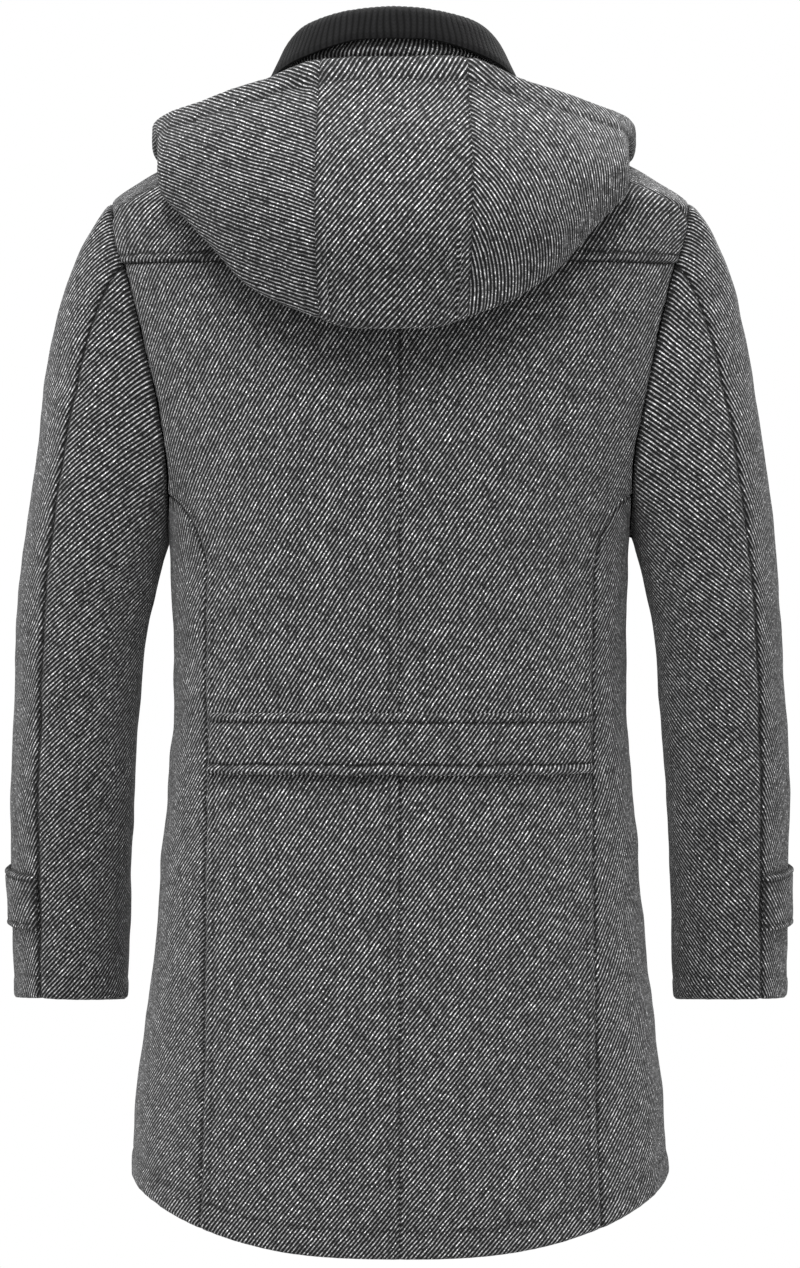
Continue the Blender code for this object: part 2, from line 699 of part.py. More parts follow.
def make_yoke():
    shoulder = shoulder_seam(SHOULDER_STEPS)
    neck = np.linspace(SHOULDER_SEAM_ANGLE, 90, HALF_NECK_STEPS + 1)
    along_neck = np.stack([neck[1:], np.full(HALF_NECK_STEPS, NECK_LEVEL)], axis=-1)
    top = np.concatenate([shoulder[::-1], along_neck])
    bottom = yoke_seam()[::-1]
    around = armhole_samples(AT_SHOULDER_SEAM, AT_YOKE_SEAM)
    centre = np.linspace([90.0, NECK_LEVEL], [90.0, YOKE_LEVEL], len(around))
    half = even_places(top, bottom, armhole_place(around), centre)
    other_half = np.array([180.0, 0.0]) + np.array([-1.0, 1.0]) * half[:, -2::-1]
    places = np.concatenate([half, other_half], axis=1)
    neck_cells = np.arange(SHOULDER_STEPS, SHOULDER_STEPS + 2 * HALF_NECK_STEPS + 1)
    outer, inner = body_wall(places, [(0, 0, around)], neck_cells)
    # The right half is the left half's mirror image, armhole and all.
    middle = outer.shape[1] // 2
    for grid in (outer, inner):
        grid[:, middle + 1 :] = mirrored(grid[:, :middle][:, ::-1])
        grid[:, middle, 0] = 0
    add_wall("yoke", outer, inner)


def yoke_seam():
    """Places along the yoke seam from the centre back to the armhole."""
    end = armhole_place(AT_YOKE_SEAM)
    share = np.linspace(0, 1, SHOULDER_STEPS + HALF_NECK_STEPS + 1)
    return np.stack([between(90, end[0], share), between(YOKE_LEVEL, end[1], share**3)], axis=-1)


def seam_down(table, front):
    """(angle, level) places down a long seam, from just below the armhole to the hem."""
    levels = np.array(SEAM_LEVELS)
    places = line_at_x(read(table, "x", levels), levels, front)
    low_x = float(read(table, "x", HEM_SIDE_LEVEL))
    low_angle = float(angle_at_x(low_x, HEM_SIDE_LEVEL, front))
    return np.concatenate([places, [[low_angle, hem_level(low_angle, front)]]])


def side_back_seam():
    return seam_down(SIDE_BACK_SEAM, False)


def side_front_seam():
    return seam_down(SIDE_FRONT_SEAM, True)


def make_backs():
    top = yoke_seam()
    around = armhole_samples(AT_YOKE_SEAM, AT_SIDE_BACK_SEAM)
    outside = np.concatenate([armhole_place(around), side_back_seam()])
    middle_level = spread(outside[:, 1], YOKE_LEVEL, hem_level(90.0))
    centre = np.stack([np.full(len(outside), 90.0), middle_level], axis=-1)
    low_angle = np.linspace(90, outside[-1, 0], len(top))
    bottom = np.stack([low_angle, hem_level(low_angle)], axis=-1)
    places = coons(top, bottom, centre, outside)
    add_both("back", *body_wall(places, [(len(top) - 1, 0, around)]))


def make_sides():
    around = armhole_samples(AT_SIDE_BACK_SEAM, AT_SIDE_FRONT_SEAM)
    top = armhole_place(around)
    behind = np.concatenate([top[:1], side_back_seam()])
    before = np.concatenate([top[-1:], side_front_seam()])
    low_angle = np.linspace(behind[-1, 0], before[-1, 0], len(top))
    low_level = np.where(low_angle > 0, hem_level(low_angle), hem_level(low_angle, True))
    places = coons(top, np.stack([low_angle, low_level], axis=-1), behind, before)
    angle, level = places[..., 0], places[..., 1]
    points, normals = body_point(angle, level), body_normal(angle, level)
    seam, through, _ = armhole_frame(around)
    points[0], normals[0] = seam, through
    outer = inset(points, normals, ALL_SIDES, SEAM_GAP / 2)
    add_both("side", outer, outer - normals * WALL)


def make_front(name, lines, sunk):
    """One front, laid out as the wearer's left one."""
    around = armhole_samples(AT_SIDE_FRONT_SEAM, 360 + AT_SHOULDER_SEAM)[::-1]
    outside = np.concatenate([armhole_place(around), side_front_seam()])
    neck_start = float(angle_at_x(FRONT_INNER_LINE, NECK_LEVEL, True))
    neck = np.linspace(neck_start, SHOULDER_SEAM_ANGLE, FRONT_NECK_STEPS + 1)
    shoulder = shoulder_seam(SHOULDER_STEPS)
    along_neck = np.stack([neck, np.full(len(neck), NECK_LEVEL)], axis=-1)
    top = np.concatenate([along_neck, shoulder[1:]])
    falling = outside[0, 1] - FRONT_ROW_FALL * np.arange(len(outside))
    levels = spread(np.minimum(outside[:, 1], falling), NECK_LEVEL, hem_level(-90.0, True))
    inner_line = line_at_x(FRONT_INNER_LINE, levels, True)
    low_angle = np.linspace(inner_line[-1, 0], outside[-1, 0], len(top))
    inner_line[-1, 1] = hem_level(inner_line[-1, 0], True)
    bottom = np.stack([low_angle, hem_level(low_angle, True)], axis=-1)
    wide = even_places(top, bottom, inner_line, outside)
    strips = np.stack([line_at_x(x, levels, True) for x in lines], axis=1)
    strips[-1, :, 1] = hem_level(strips[-1, :, 0], True)
    places = np.concatenate([strips, wide], axis=1)
    sink = np.zeros(places.shape[:2])
    if sunk:
        sink[:, : len(lines)] = FRONT_SINK
    neck_cells = np.arange(0, len(lines) + len(neck))
    outer, inner = body_wall(places, [(places.shape[1] - 1, 0, around)], neck_cells, sink)
    if name.endswith("right"):
        outer, inner = mirrored(outer), mirrored(inner)
    add_wall(name, outer, inner)


# ---------------------------------------------------------------- sleeves
def make_sleeves():
    spans = {
        "upper_sleeve": armhole_samples(AT_SLEEVE_FRONT_SEAM, 360 + AT_SHOULDER_SEAM),
        "under_sleeve": armhole_samples(AT_YOKE_SEAM, AT_SLEEVE_FRONT_SEAM),
    }
    rest = armhole_samples(AT_SHOULDER_SEAM, AT_YOKE_SEAM)[1:] + 360
    spans["upper_sleeve"] = np.concatenate([spans["upper_sleeve"], rest])
    for name, around in spans.items():
        points = sleeve_grid(around)
        normals = grid_normals(points)
        centre = points.mean(axis=1, keepdims=True)
        if ((points - centre) * normals).sum() < 0:
            normals = -normals
        normals = share_seam_normals(points, normals, around)
        _, through, to_sleeve = armhole_frame(np.mod(around, 360))
        normals[0] = through
        outer = inset(points, normals, ALL_SIDES[1:], SEAM_GAP / 2)
        outer[0] = outer[0] + to_sleeve * SEAM_GAP / 2
        add_both(name, outer, outer - normals * WALL)


def share_seam_normals(points, normals, around):
    """Gives both sleeve pieces the same direction through the cloth along their seams."""
    step = 3.0
    for column in (0, -1):
        near = sleeve_grid(np.array([around[column] - step, around[column], around[column] + step]))
        shared = grid_normals(near)[:, 1]
        shared *= np.sign((shared * normals[:, column]).sum(-1, keepdims=True))
        normals[:, column] = shared
    return normals


# ---------------------------------------------------------------- collar
def neck_outward(angle):
    """The level direction out of the neckline."""
    step = 1.0
    level = np.full(np.shape(angle), NECK_LEVEL)
    along = body_point(np.add(angle, step), level) - body_point(np.subtract(angle, step), level)
    return unit(np.stack([along[..., 1], -along[..., 0], np.zeros(np.shape(angle))], axis=-1))


def folded(angle):
    """The collar's table is given for one half: the angle on that half."""
    return np.where(np.asarray(angle) > 90, 180 - np.asarray(angle), np.asarray(angle))


def collar_place(angle, out, height):
    """Points a distance out of the neckline, at heights of their own."""
    neck = body_point(angle, np.full(np.shape(angle), NECK_LEVEL))
    points = neck + neck_outward(angle) * np.asarray(out)[..., None]
    points[..., 2] = height
    return points


def stand_top(angle):
    side = folded(angle)
    out = read(COLLAR, "fold_out", side) * STAND_LEAN
    return out, read(COLLAR, "fold_z", side) - STAND_BELOW_FOLD


def neckline_angles():
    """The places round the neckline where the body panels have their points, between the collar's ends."""
    lines = [float(angle_at_x(x, NECK_LEVEL, True)) for x in (*LEFT_FRONT_LINES[2:], FRONT_INNER_LINE)]
    front = np.linspace(lines[-1], SHOULDER_SEAM_ANGLE, FRONT_NECK_STEPS + 1)[1:]
    back = np.linspace(SHOULDER_SEAM_ANGLE, 90, HALF_NECK_STEPS + 1)[1:]
    half = np.concatenate([lines, front, back])
    return np.concatenate([half, 180 - half[-2::-1]])


def leaned(points):
    """Points of the collar or the hood, moved to the wearer's left in step with their way from the neck."""
    across, back = points[..., 0] / read(BODY, "half_width", NECK_LEVEL), points[..., 1]
    angle = np.degrees(np.arctan2(back / read(BODY, "back", NECK_LEVEL), across))
    away = np.linalg.norm(points - body_point(angle, np.full(angle.shape, NECK_LEVEL)), axis=-1)
    share = np.clip(away / LEAN_REACH, 0, 1)
    moved = points.copy()
    moved[..., 0] += NECK_LEAN * share**2 * (3 - 2 * share)
    return moved


def make_collar_stand():
    angle = neckline_angles()
    out, top = stand_top(angle)
    base = body_point(angle, np.full(angle.shape, NECK_LEVEL))
    rows = [
        collar_place(angle, out * share, between(base[:, 2], top, share))
        for share in np.linspace(1, 0, STAND_ROWS + 1)
    ]
    points = np.array(rows)
    normals = np.repeat(neck_outward(angle)[None], len(rows), axis=0)
    normals[-1] = neck_frame(angle)
    outer = inset(points, normals, ("last_row",), SEAM_GAP / 2)
    add_wall("collar_stand", leaned(outer), leaned(outer - normals * WALL))


def collar_path(angle):
    """Middle of the knit cloth at one angle: up inside the stand, over the fold and down outside."""
    side = folded(angle)
    fold_out, fold_z = read(COLLAR, "fold_out", side), read(COLLAR, "fold_z", side)
    edge_out, edge_z = read(COLLAR, "edge_out", side), read(COLLAR, "edge_z", side)
    stand_out, stand_z = stand_top(angle)
    neck_z = body_point(angle, np.full(np.shape(angle), NECK_LEVEL))[..., 2]
    inside = WALL + COLLAR_GAP + KNIT_WALL / 2
    fall_out, fall_z = fold_out + BELOW_FOLD[0], fold_z + BELOW_FOLD[1]
    rows = [(-inside, neck_z + KNIT_FOOT_RISE), (stand_out - inside, stand_z + KNIT_AT_STAND_TOP)]
    rows += [(fold_out + out, fold_z + rise) for out, rise in FOLD["rows"]]
    rows += [((fall_out + edge_out) / 2, (fall_z + edge_z) / 2), (edge_out, edge_z)]
    return np.array([collar_place(angle, out, height) for out, height in rows])


def make_knit_collar():
    """The ribs are raised in the outer points; the inside is plain, with half as many columns."""
    ends = neckline_angles()[[0, -1]]
    fine = np.linspace(*ends, FINE)
    ring = body_point(fine, np.full(len(fine), NECK_LEVEL))
    length = np.linalg.norm(np.diff(ring, axis=0), axis=-1)
    ribs = int(round(length.sum() / RIB_PITCH))
    travel = np.concatenate([[0], np.cumsum(length)]) / length.sum()
    angle = np.interp(np.linspace(0, 1, 2 * ribs + 1), travel, fine)
    middle = collar_path(angle)
    normals = grid_normals(middle)
    if (normals[-1] * neck_outward(angle)).sum() < 0:
        normals = -normals
    raised = np.where(np.arange(2 * ribs + 1) % 2 == 1, RIB_HEIGHT, 0.0)
    outer = middle + normals * (KNIT_WALL / 2 + raised[None, :, None])
    inner = (middle - normals * KNIT_WALL / 2)[:, ::2]
    rows, columns, few = outer.shape[0], outer.shape[1], inner.shape[1]

    def out_at(i, j):
        return i * columns + j

    def in_at(i, j):
        return rows * columns + i * few + j

    faces = []
    for i in range(rows - 1):
        for j in range(columns - 1):
            faces.append((out_at(i, j), out_at(i + 1, j), out_at(i + 1, j + 1), out_at(i, j + 1)))
        for j in range(few - 1):
            faces.append((in_at(i, j), in_at(i, j + 1), in_at(i + 1, j + 1), in_at(i + 1, j)))
        faces.append((out_at(i + 1, 0), out_at(i, 0), in_at(i, 0), in_at(i + 1, 0)))
        faces.append(
            (out_at(i, columns - 1), out_at(i + 1, columns - 1), in_at(i + 1, few - 1), in_at(i, few - 1))
        )
    for j in range(few - 1):
        for row in (0, rows - 1):
            a, b, c = (out_at(row, 2 * j + k) for k in range(3))
            under, under_next = in_at(row, j), in_at(row, j + 1)
            edge = [(a, b, under), (b, under_next, under), (b, c, under_next)]
            faces += edge if row == 0 else [tuple(reversed(face)) for face in edge]
    points = np.concatenate([outer.reshape(-1, 3), inner.reshape(-1, 3)])
    add_mesh("knit_collar", leaned(points), faces, "rib_knit")


# ---------------------------------------------------------------- hood
def hood_path(station):
    """Middle of the hood's cloth at stations.

    It runs from the neck seam down over the coat, round the low fold and up outside to the edge of the
    face opening.
    """
    station = np.asarray(station, float)
    column = {name: read(HOOD, name, station) for name in HOOD["columns"][1:]}
    half = WALL / 2

    neck = body_point(column["neck_angle"], HOOD_NECK_LEVEL)
    last = body_point(column["low_angle"], column["low_level"])
    shares = np.linspace(0, 1, HOOD_TRIES)[:, None, None]
    angles, levels = body_under(between(neck[None], last[None], shares))
    line = body_point(angles, levels)
    travel = np.cumsum(np.linalg.norm(np.diff(line, axis=0), axis=-1), axis=0)
    travel = np.concatenate([np.zeros((1, travel.shape[1])), travel]) / travel[-1]

    def on_body(share, clearance):
        """A share of the way from the neck seam to the low fold, straight out over the form."""
        angle = [np.interp(share, travel[:, j], angles[:, j]) for j in range(travel.shape[1])]
        level = [np.interp(share, travel[:, j], levels[:, j]) for j in range(travel.shape[1])]
        return body_point(angle, level) + body_normal(angle, level) * (clearance + half)

    bag = column["bag"]
    low = on_body(1.0, HOOD_CLEARANCE)
    drop_level = column["low_level"] - HOOD_FOLD_DROP * bag
    stand_off = (HOOD_CLEARANCE + half + HOOD_FOLD_OUT * bag)[..., None]
    bottom = body_point(column["low_angle"], drop_level)
    bottom = bottom + body_normal(column["low_angle"], drop_level) * stand_off
    edge = np.stack([column["edge_x"], column["edge_y"], column["edge_z"]], axis=-1)
    way = body_normal(column["low_angle"], column["low_level"] - HOOD_OUTWARD_BELOW)
    way = unit(way * np.array([1, 1, 0]))
    stops = [on_body(0.0, HOOD_NECK_CLEARANCE)]
    stops += [on_body(share, keeps * HOOD_CLEARANCE) for share, keeps in HOOD_LAY["rows"]]
    stops += [low, bottom]
    stops += [between(edge, low, share) + way * (out * bag)[..., None] for share, out in HOOD_BELLY["rows"]]
    stops.append(edge)
    return smooth_through(np.array(stops), HOOD_ROWS)


def smooth_through(stops, rows):
    """Even points along a smooth curve through the stops (stops first, then columns)."""
    ahead = 2 * stops[-1] - stops[-2]
    behind = 2 * stops[0] - stops[1]
    knots = np.concatenate([behind[None], stops, ahead[None]])
    fine = []
    for k in range(1, len(knots) - 2):
        a, b, c, d = knots[k - 1 : k + 3]
        ab, bc, cd = (
            np.sqrt(np.linalg.norm(q - p, axis=-1, keepdims=True)) + 1e-6
            for p, q in ((a, b), (b, c), (c, d))
        )
        leave = (b - a) / ab - (c - a) / (ab + bc) + (c - b) / bc
        arrive = (c - b) / bc - (d - b) / (bc + cd) + (d - c) / cd
        for t in np.linspace(0, 1, CURVE_STEPS, endpoint=False):
            fine.append(
                (2 * t**3 - 3 * t**2 + 1) * b
                + (t**3 - 2 * t**2 + t) * bc * leave
                + (3 * t**2 - 2 * t**3) * c
                + (t**3 - t**2) * bc * arrive
            )
    fine.append(stops[-1])
    fine = np.array(fine)
    length = np.linalg.norm(np.diff(fine, axis=0), axis=-1)
    travel = np.concatenate([np.zeros((1, length.shape[1])), np.cumsum(length, axis=0)])
    out = np.empty((rows + 1, stops.shape[1], 3))
    for j in range(stops.shape[1]):
        at = np.linspace(0, travel[-1, j], rows + 1)
        for axis in range(3):
            out[:, j, axis] = np.interp(at, travel[:, j], fine[:, j, axis])
    return out


def hood_normals(station):
    """Normals of the hood's cloth, pointing to the side that shows."""
    step = 0.08
    stack = [hood_path(np.maximum(station - step, 0)), hood_path(station), hood_path(station + step)]
    across = stack[2] - stack[0]
    down = np.gradient(stack[1], axis=0)
    normals = unit(np.cross(down, across))
    at_middle = np.asarray(station) < 1e-9
    normals[:, at_middle] = unit(normals[:, at_middle] * np.array([0, 1, 1]))
    return normals


def hood_wall(station):
    middle = hood_path(station)
    normals = hood_normals(station)
    if normals[-2, 0, 1] < 0:
        normals = -normals
    return middle, normals


def make_hood():
    side = np.linspace(HOOD_SEAM_STATION, HOOD_END_STATION, HOOD_SIDE_COLUMNS + 1)
    middle, normals = hood_wall(side)
    trimmed = inset(middle, normals, ("first_column",), SEAM_GAP / 2)
    walls = trimmed + normals * WALL / 2, trimmed - normals * WALL / 2
    add_wall("hood_left", *(leaned(wall) for wall in walls))
    add_wall("hood_right", *(leaned(mirrored(wall)) for wall in walls))
    half = np.linspace(0, HOOD_SEAM_STATION, HOOD_CENTRE_COLUMNS // 2 + 1)
    middle, normals = hood_wall(half)
    middle = inset(middle, normals, ("last_column",), SEAM_GAP / 2)
    middle = np.concatenate([mirrored(middle[:, :0:-1]), middle], axis=1)
    normals = np.concatenate([mirrored(normals[:, :0:-1]), normals], axis=1)
    middle[:, HOOD_CENTRE_COLUMNS // 2, 0] = 0
    walls = middle + normals * WALL / 2, middle - normals * WALL / 2
    add_wall("hood_centre", *(leaned(wall) for wall in walls))


# ---------------------------------------------------------------- half-belt, tabs and buttons
def make_half_belt():
    levels = np.linspace(BELT_TOP_LEVEL, BELT_BOTTOM_LEVEL, 3)
    low = float(angle_at_x(BELT_HALF_LENGTH, levels[1]))
    angle = np.linspace(low, 180 - low, BELT_COLUMNS + 1)
    angles, heights = np.meshgrid(angle, levels)
    points, normals = body_point(angles, heights), body_normal(angles, heights)
    add_wall("half_belt", points + normals * (BELT_LIFT + WALL), points + normals * BELT_LIFT)


def make_cuff_tabs():
    seam = float(read(SLEEVE_BACK_SEAM, "angle", TAB_TOP_LEVEL))
    around = np.linspace(seam - TAB_SHORT_OF_SEAM, TAB_END_ANGLE, TAB_COLUMNS + 1)
    point = np.zeros(len(around))
    point[-1] = TAB_POINT
    rows = []
    for share in (0.0, 0.5, 1.0):
        level = between(TAB_TOP_LEVEL, TAB_BOTTOM_LEVEL, share) - point * (1 - 2 * share)
        rows.append(sleeve_tube_point(around, level))
    points = np.array(rows)
    centre = points.mean(axis=1, keepdims=True)
    normals = grid_normals(points)
    if ((points - centre) * normals).sum() < 0:
        normals = -normals
    add_both("cuff_tab", points + normals * (TAB_LIFT + WALL), points + normals * TAB_LIFT)


def add_button(name, at, facing, radius):
    """A turned button with a raised rim, its back a little off the cloth."""
    rows = BUTTON_PROFILE["rows"]
    facing = unit(facing)
    side = unit(np.cross(facing, (0.0, 0.0, 1.0)))
    up = np.cross(side, facing)
    points = [np.array(at)]
    for out, height in rows:
        for turn in np.linspace(0, 2 * math.pi, BUTTON_SIDES, endpoint=False):
            round_it = side * math.cos(turn) + up * math.sin(turn)
            points.append(at + facing * height * BUTTON_THICKNESS + round_it * out * radius)
    points.append(at + facing * rows[-1][1] * BUTTON_THICKNESS)
    rings, top = len(rows), len(points) - 1
    faces = []
    for k in range(BUTTON_SIDES):
        after = (k + 1) % BUTTON_SIDES
        faces.append((0, 1 + after, 1 + k))
        for ring in range(rings - 1):
            a, b = 1 + ring * BUTTON_SIDES, 1 + (ring + 1) * BUTTON_SIDES
            faces.append((a + k, a + after, b + after, b + k))
        last = 1 + (rings - 1) * BUTTON_SIDES
        faces.append((last + k, last + after, top))
    add_mesh(name, np.array(points), faces, "button")


def make_buttons():
    for number in range(FRONT_BUTTONS):
        height = FRONT_BUTTON_TOP_Z - number * FRONT_BUTTON_PITCH
        normal = body_normal(-90.0, height)
        at = body_point(-90.0, height) + normal * BUTTON_SEAT
        add_button(f"front_button_{number + 1}", at, normal, FRONT_BUTTON_RADIUS)
    level = (TAB_TOP_LEVEL + TAB_BOTTOM_LEVEL) / 2
    around = TAB_END_ANGLE + CUFF_BUTTON_FROM_END
    step = 2.0
    along = sleeve_tube_point(around + step, level) - sleeve_tube_point(around - step, level)
    up = sleeve_tube_point(around, level + 0.004) - sleeve_tube_point(around, level - 0.004)
    normal = unit(np.cross(along, up))
    at = sleeve_tube_point(around, level) + normal * (TAB_LIFT + WALL + BUTTON_SEAT)
    add_button("cuff_button_left", at, normal, CUFF_BUTTON_RADIUS)
    add_button("cuff_button_right", mirrored(at), mirrored(normal), CUFF_BUTTON_RADIUS)


def main():
    for old in list(bpy.data.objects):
        bpy.data.objects.remove(old, do_unlink=True)
    make_yoke()
    make_backs()
    make_sides()
    make_front("front_left", LEFT_FRONT_LINES, sunk=False)
    make_front("front_right", RIGHT_FRONT_LINES, sunk=True)
    make_sleeves()
    make_collar_stand()
    make_knit_collar()
    make_hood()
    make_half_belt()
    make_cuff_tabs()
    make_buttons()


main()
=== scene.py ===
"""Looks of the hooded wool coat with a rib-knit collar, seen from behind.

Each piece of the coat is a thin closed shell on the same form as its solid, with a finer grid, and with the
relief of its seams, topstitching, hems and creases. Metres, +Z up. The coat's front faces -Y and the
wearer's left is +X. A place on the body form is (angle, level), with the angle in degrees from the wearer's
left side, 90 at the centre back and -90 at the centre front.
"""

import functools
import math

import bmesh
import bpy
import numpy as np
from mathutils import Matrix, Vector

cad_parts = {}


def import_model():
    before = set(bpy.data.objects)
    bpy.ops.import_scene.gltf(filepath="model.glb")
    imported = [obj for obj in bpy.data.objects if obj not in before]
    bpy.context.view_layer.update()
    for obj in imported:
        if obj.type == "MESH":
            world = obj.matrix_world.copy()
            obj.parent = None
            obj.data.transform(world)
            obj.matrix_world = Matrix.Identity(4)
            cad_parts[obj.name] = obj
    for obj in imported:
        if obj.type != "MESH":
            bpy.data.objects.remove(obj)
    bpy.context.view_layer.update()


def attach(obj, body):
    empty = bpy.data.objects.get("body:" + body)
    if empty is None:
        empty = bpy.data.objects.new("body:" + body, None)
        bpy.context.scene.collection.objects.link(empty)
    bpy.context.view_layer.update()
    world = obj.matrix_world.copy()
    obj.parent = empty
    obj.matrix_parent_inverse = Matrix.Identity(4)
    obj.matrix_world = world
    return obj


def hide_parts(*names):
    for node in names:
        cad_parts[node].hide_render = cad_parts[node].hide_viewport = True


# ---------------------------------------------------------------- the coat's sizes, as in its solids
WALL = 0.0026  # coat cloth
KNIT_WALL = 0.0030  # rib-knit cloth between its ribs
NECK_LEVEL = 0.0
YOKE_LEVEL = -0.112
HEM_SIDE_LEVEL = -0.7945
HEM_BACK_DIP = 0.043
HEM_FRONT_DIP = 0.027
HEM_CURVE = 2.08  # how squarely the hem turns up at the sides
SHOULDER_SEAM_ANGLE = 8.0  # where the shoulder seam starts at the neck
# Level sections of the body form, a superellipse each. front_drop lowers the front of the section.
BODY = {
    "columns": ("level", "half_width", "back", "front", "squareness", "front_drop"),
    "rows": (
        (0.0000, 0.0750, 0.0700, 0.0660, 2.00, 0.055),
        (-0.0100, 0.1120, 0.0780, 0.0760, 2.05, 0.050),
        (-0.0220, 0.1510, 0.0855, 0.0840, 2.10, 0.042),
        (-0.0350, 0.1825, 0.0915, 0.0905, 2.15, 0.034),
        (-0.0450, 0.1990, 0.0950, 0.0945, 2.18, 0.029),
        (-0.0552, 0.2150, 0.0985, 0.0980, 2.20, 0.024),
        (-0.0660, 0.2255, 0.1015, 0.1010, 2.25, 0.019),
        (-0.0900, 0.2265, 0.1070, 0.1070, 2.30, 0.010),
        (-0.1170, 0.2205, 0.1130, 0.1130, 2.35, 0.004),
        (-0.1500, 0.2120, 0.1180, 0.1185, 2.40, 0.0),
        (-0.2000, 0.1990, 0.1215, 0.1240, 2.45, 0.0),
        (-0.2500, 0.1865, 0.1225, 0.1265, 2.50, 0.0),
        (-0.3000, 0.1760, 0.1205, 0.1265, 2.50, 0.0),
        (-0.3440, 0.1723, 0.1175, 0.1250, 2.50, 0.0),
        (-0.4120, 0.1714, 0.1135, 0.1220, 2.50, 0.0),
        (-0.4810, 0.1744, 0.1145, 0.1220, 2.50, 0.0),
        (-0.5490, 0.1800, 0.1190, 0.1250, 2.50, 0.0),
        (-0.6180, 0.1862, 0.1240, 0.1285, 2.50, 0.0),
        (-0.6860, 0.1934, 0.1290, 0.1325, 2.50, 0.0),
        (-0.7540, 0.2003, 0.1330, 0.1365, 2.50, 0.0),
        (-0.8045, 0.2040, 0.1355, 0.1390, 2.50, 0.0),
        (-0.8700, 0.2075, 0.1380, 0.1410, 2.50, 0.0),
    ),
}
FRONT_DROP_POWER = 1.5  # how late the drop sets in toward the middle of the front
FULL_WIDTH_LEVEL = -0.25  # the shoulders' slope lies above it
HALVINGS = 40  # of a search for a level
NEAREST_STEPS = 12  # of a search for the nearest place
# The armhole, behind and in front: how far out it runs at each level.
ARMHOLE_TOP = -0.057
ARMHOLE_BOTTOM = -0.310
ARMHOLE = {
    "columns": ("level", "back_x", "front_x"),
    "rows": (
        (-0.0570, 0.2195, 0.2195),
        (-0.0912, 0.2140, 0.2110),
        (-0.1143, 0.2060, 0.2010),
        (-0.1745, 0.1910, 0.1850),
        (-0.2162, 0.1815, 0.1765),
        (-0.2736, 0.1745, 0.1720),
        (-0.3100, 0.1750, 0.1750),
    ),
}
SHOULDER_SEAM = {  # it swings to the back on its way down to the armhole
    "columns": ("level", "angle"),
    "rows": (
        (0.0, SHOULDER_SEAM_ANGLE),
        (-0.0100, 20.0),
        (-0.0220, 29.0),
        (-0.0350, 34.0),
        (-0.0450, 34.0),
        (-0.0552, 29.5),
        (-0.0660, 23.5),
        (-0.0800, 14.5),
    ),
}
# Where the seams meet the armhole, in degrees round it from its top, by way of the back.
AT_SHOULDER_SEAM = 31.0
AT_YOKE_SEAM = 54.0
AT_SIDE_BACK_SEAM = 139.4
AT_SIDE_FRONT_SEAM = 221.0
AT_SLEEVE_FRONT_SEAM = 240.0
# Long seams of the body below the armhole: how far out each runs.
SIDE_BACK_SEAM = {
    "columns": ("level", "x"),
    "rows": (
        (-0.2800, 0.1735),
        (-0.2920, 0.1610),
        (-0.3060, 0.1525),
        (-0.3200, 0.1475),
        (-0.3400, 0.1445),
        (-0.4000, 0.1430),
        (-0.6000, 0.1430),
        (-0.8400, 0.1470),
    ),
}
SIDE_FRONT_SEAM = {
    "columns": ("level", "x"),
    "rows": (
        (-0.2800, 0.1715),
        (-0.3400, 0.1600),
        (-0.4200, 0.1560),
        (-0.6000, 0.1620),
        (-0.8400, 0.1740),
    ),
}
# Sleeve below the armpit, by centre line and half-widths. fall_back is how steeply a section falls from
# front to back: nearly square to the centre line above, and cut the other way at the cuff.
SLEEVE_RING = -0.335
CUFF_LEVEL = -0.6665
SLEEVE = {
    "columns": ("level", "centre_x", "centre_y", "half_width", "half_depth", "fall_back"),
    "rows": (
        (-0.3350, 0.2345, 0.0020, 0.0510, 0.0660, 0.060),
        (-0.3670, 0.2395, 0.0000, 0.0493, 0.0625, 0.085),
        (-0.4120, 0.2442, -0.0050, 0.0486, 0.0590, 0.120),
        (-0.4580, 0.2478, -0.0110, 0.0476, 0.0565, 0.130),
        (-0.5040, 0.2505, -0.0185, 0.0472, 0.0550, 0.120),
        (-0.5490, 0.2520, -0.0270, 0.0464, 0.0540, 0.090),
        (-0.6180, 0.2535, -0.0400, 0.0446, 0.0530, 0.020),
        (-0.6665, 0.2545, -0.0500, 0.0436, 0.0525, -0.070),
        (-0.7000, 0.2550, -0.0560, 0.0434, 0.0520, -0.140),
    ),
}
SLEEVE_BACK_SEAM = {  # in degrees round the sleeve from its outer side, by way of the back
    "columns": ("level", "angle"),
    "rows": ((-0.335, 57.0), (-0.400, 60.0), (-0.460, 61.0), (-0.560, 63.0), (-0.700, 62.0)),
}
# How the sleeve leaves the armhole: outward and backward shares of its direction at the top of the
# armhole, half way down and at the bottom, and how far the curve keeps to its two end directions.
CAP_OUTWARD_TOP = 0.74
CAP_OUTWARD_BOTTOM = 0.20
CAP_SIDEWAYS = 0.22
CAP_START_REACH = 0.20
CAP_END_REACH = 0.40
FRONT_INNER_LINE = 0.043
FRONT_SINK = WALL + 0.0007
# Collar and hood sit a little to the wearer's left: how far, and how far from the neck seam that is whole.
NECK_LEAN = 0.0045
LEAN_REACH = 0.040
# Collar, by angle round the neckline. "out" is measured level, outward from the neckline.
COLLAR = {
    "columns": ("angle", "fold_out", "fold_z", "edge_out", "edge_z"),
    "rows": (
        (-90.0, 0.0080, -0.0240, 0.0260, -0.0530),
        (-82.0, 0.0080, -0.0215, 0.0262, -0.0505),
        (-40.0, 0.0060, 0.0230, 0.0320, -0.0090),
        (0.0, 0.0005, 0.0580, 0.0205, 0.0270),
        (45.0, -0.0010, 0.0740, 0.0152, 0.0460),
        (76.0, 0.0000, 0.0772, 0.0110, 0.0548),
        (90.0, 0.0000, 0.0775, 0.0105, 0.0550),
    ),
}
STAND_BELOW_FOLD = 0.012
STAND_LEAN = 0.5  # how much of the fold's distance out the stand's top goes
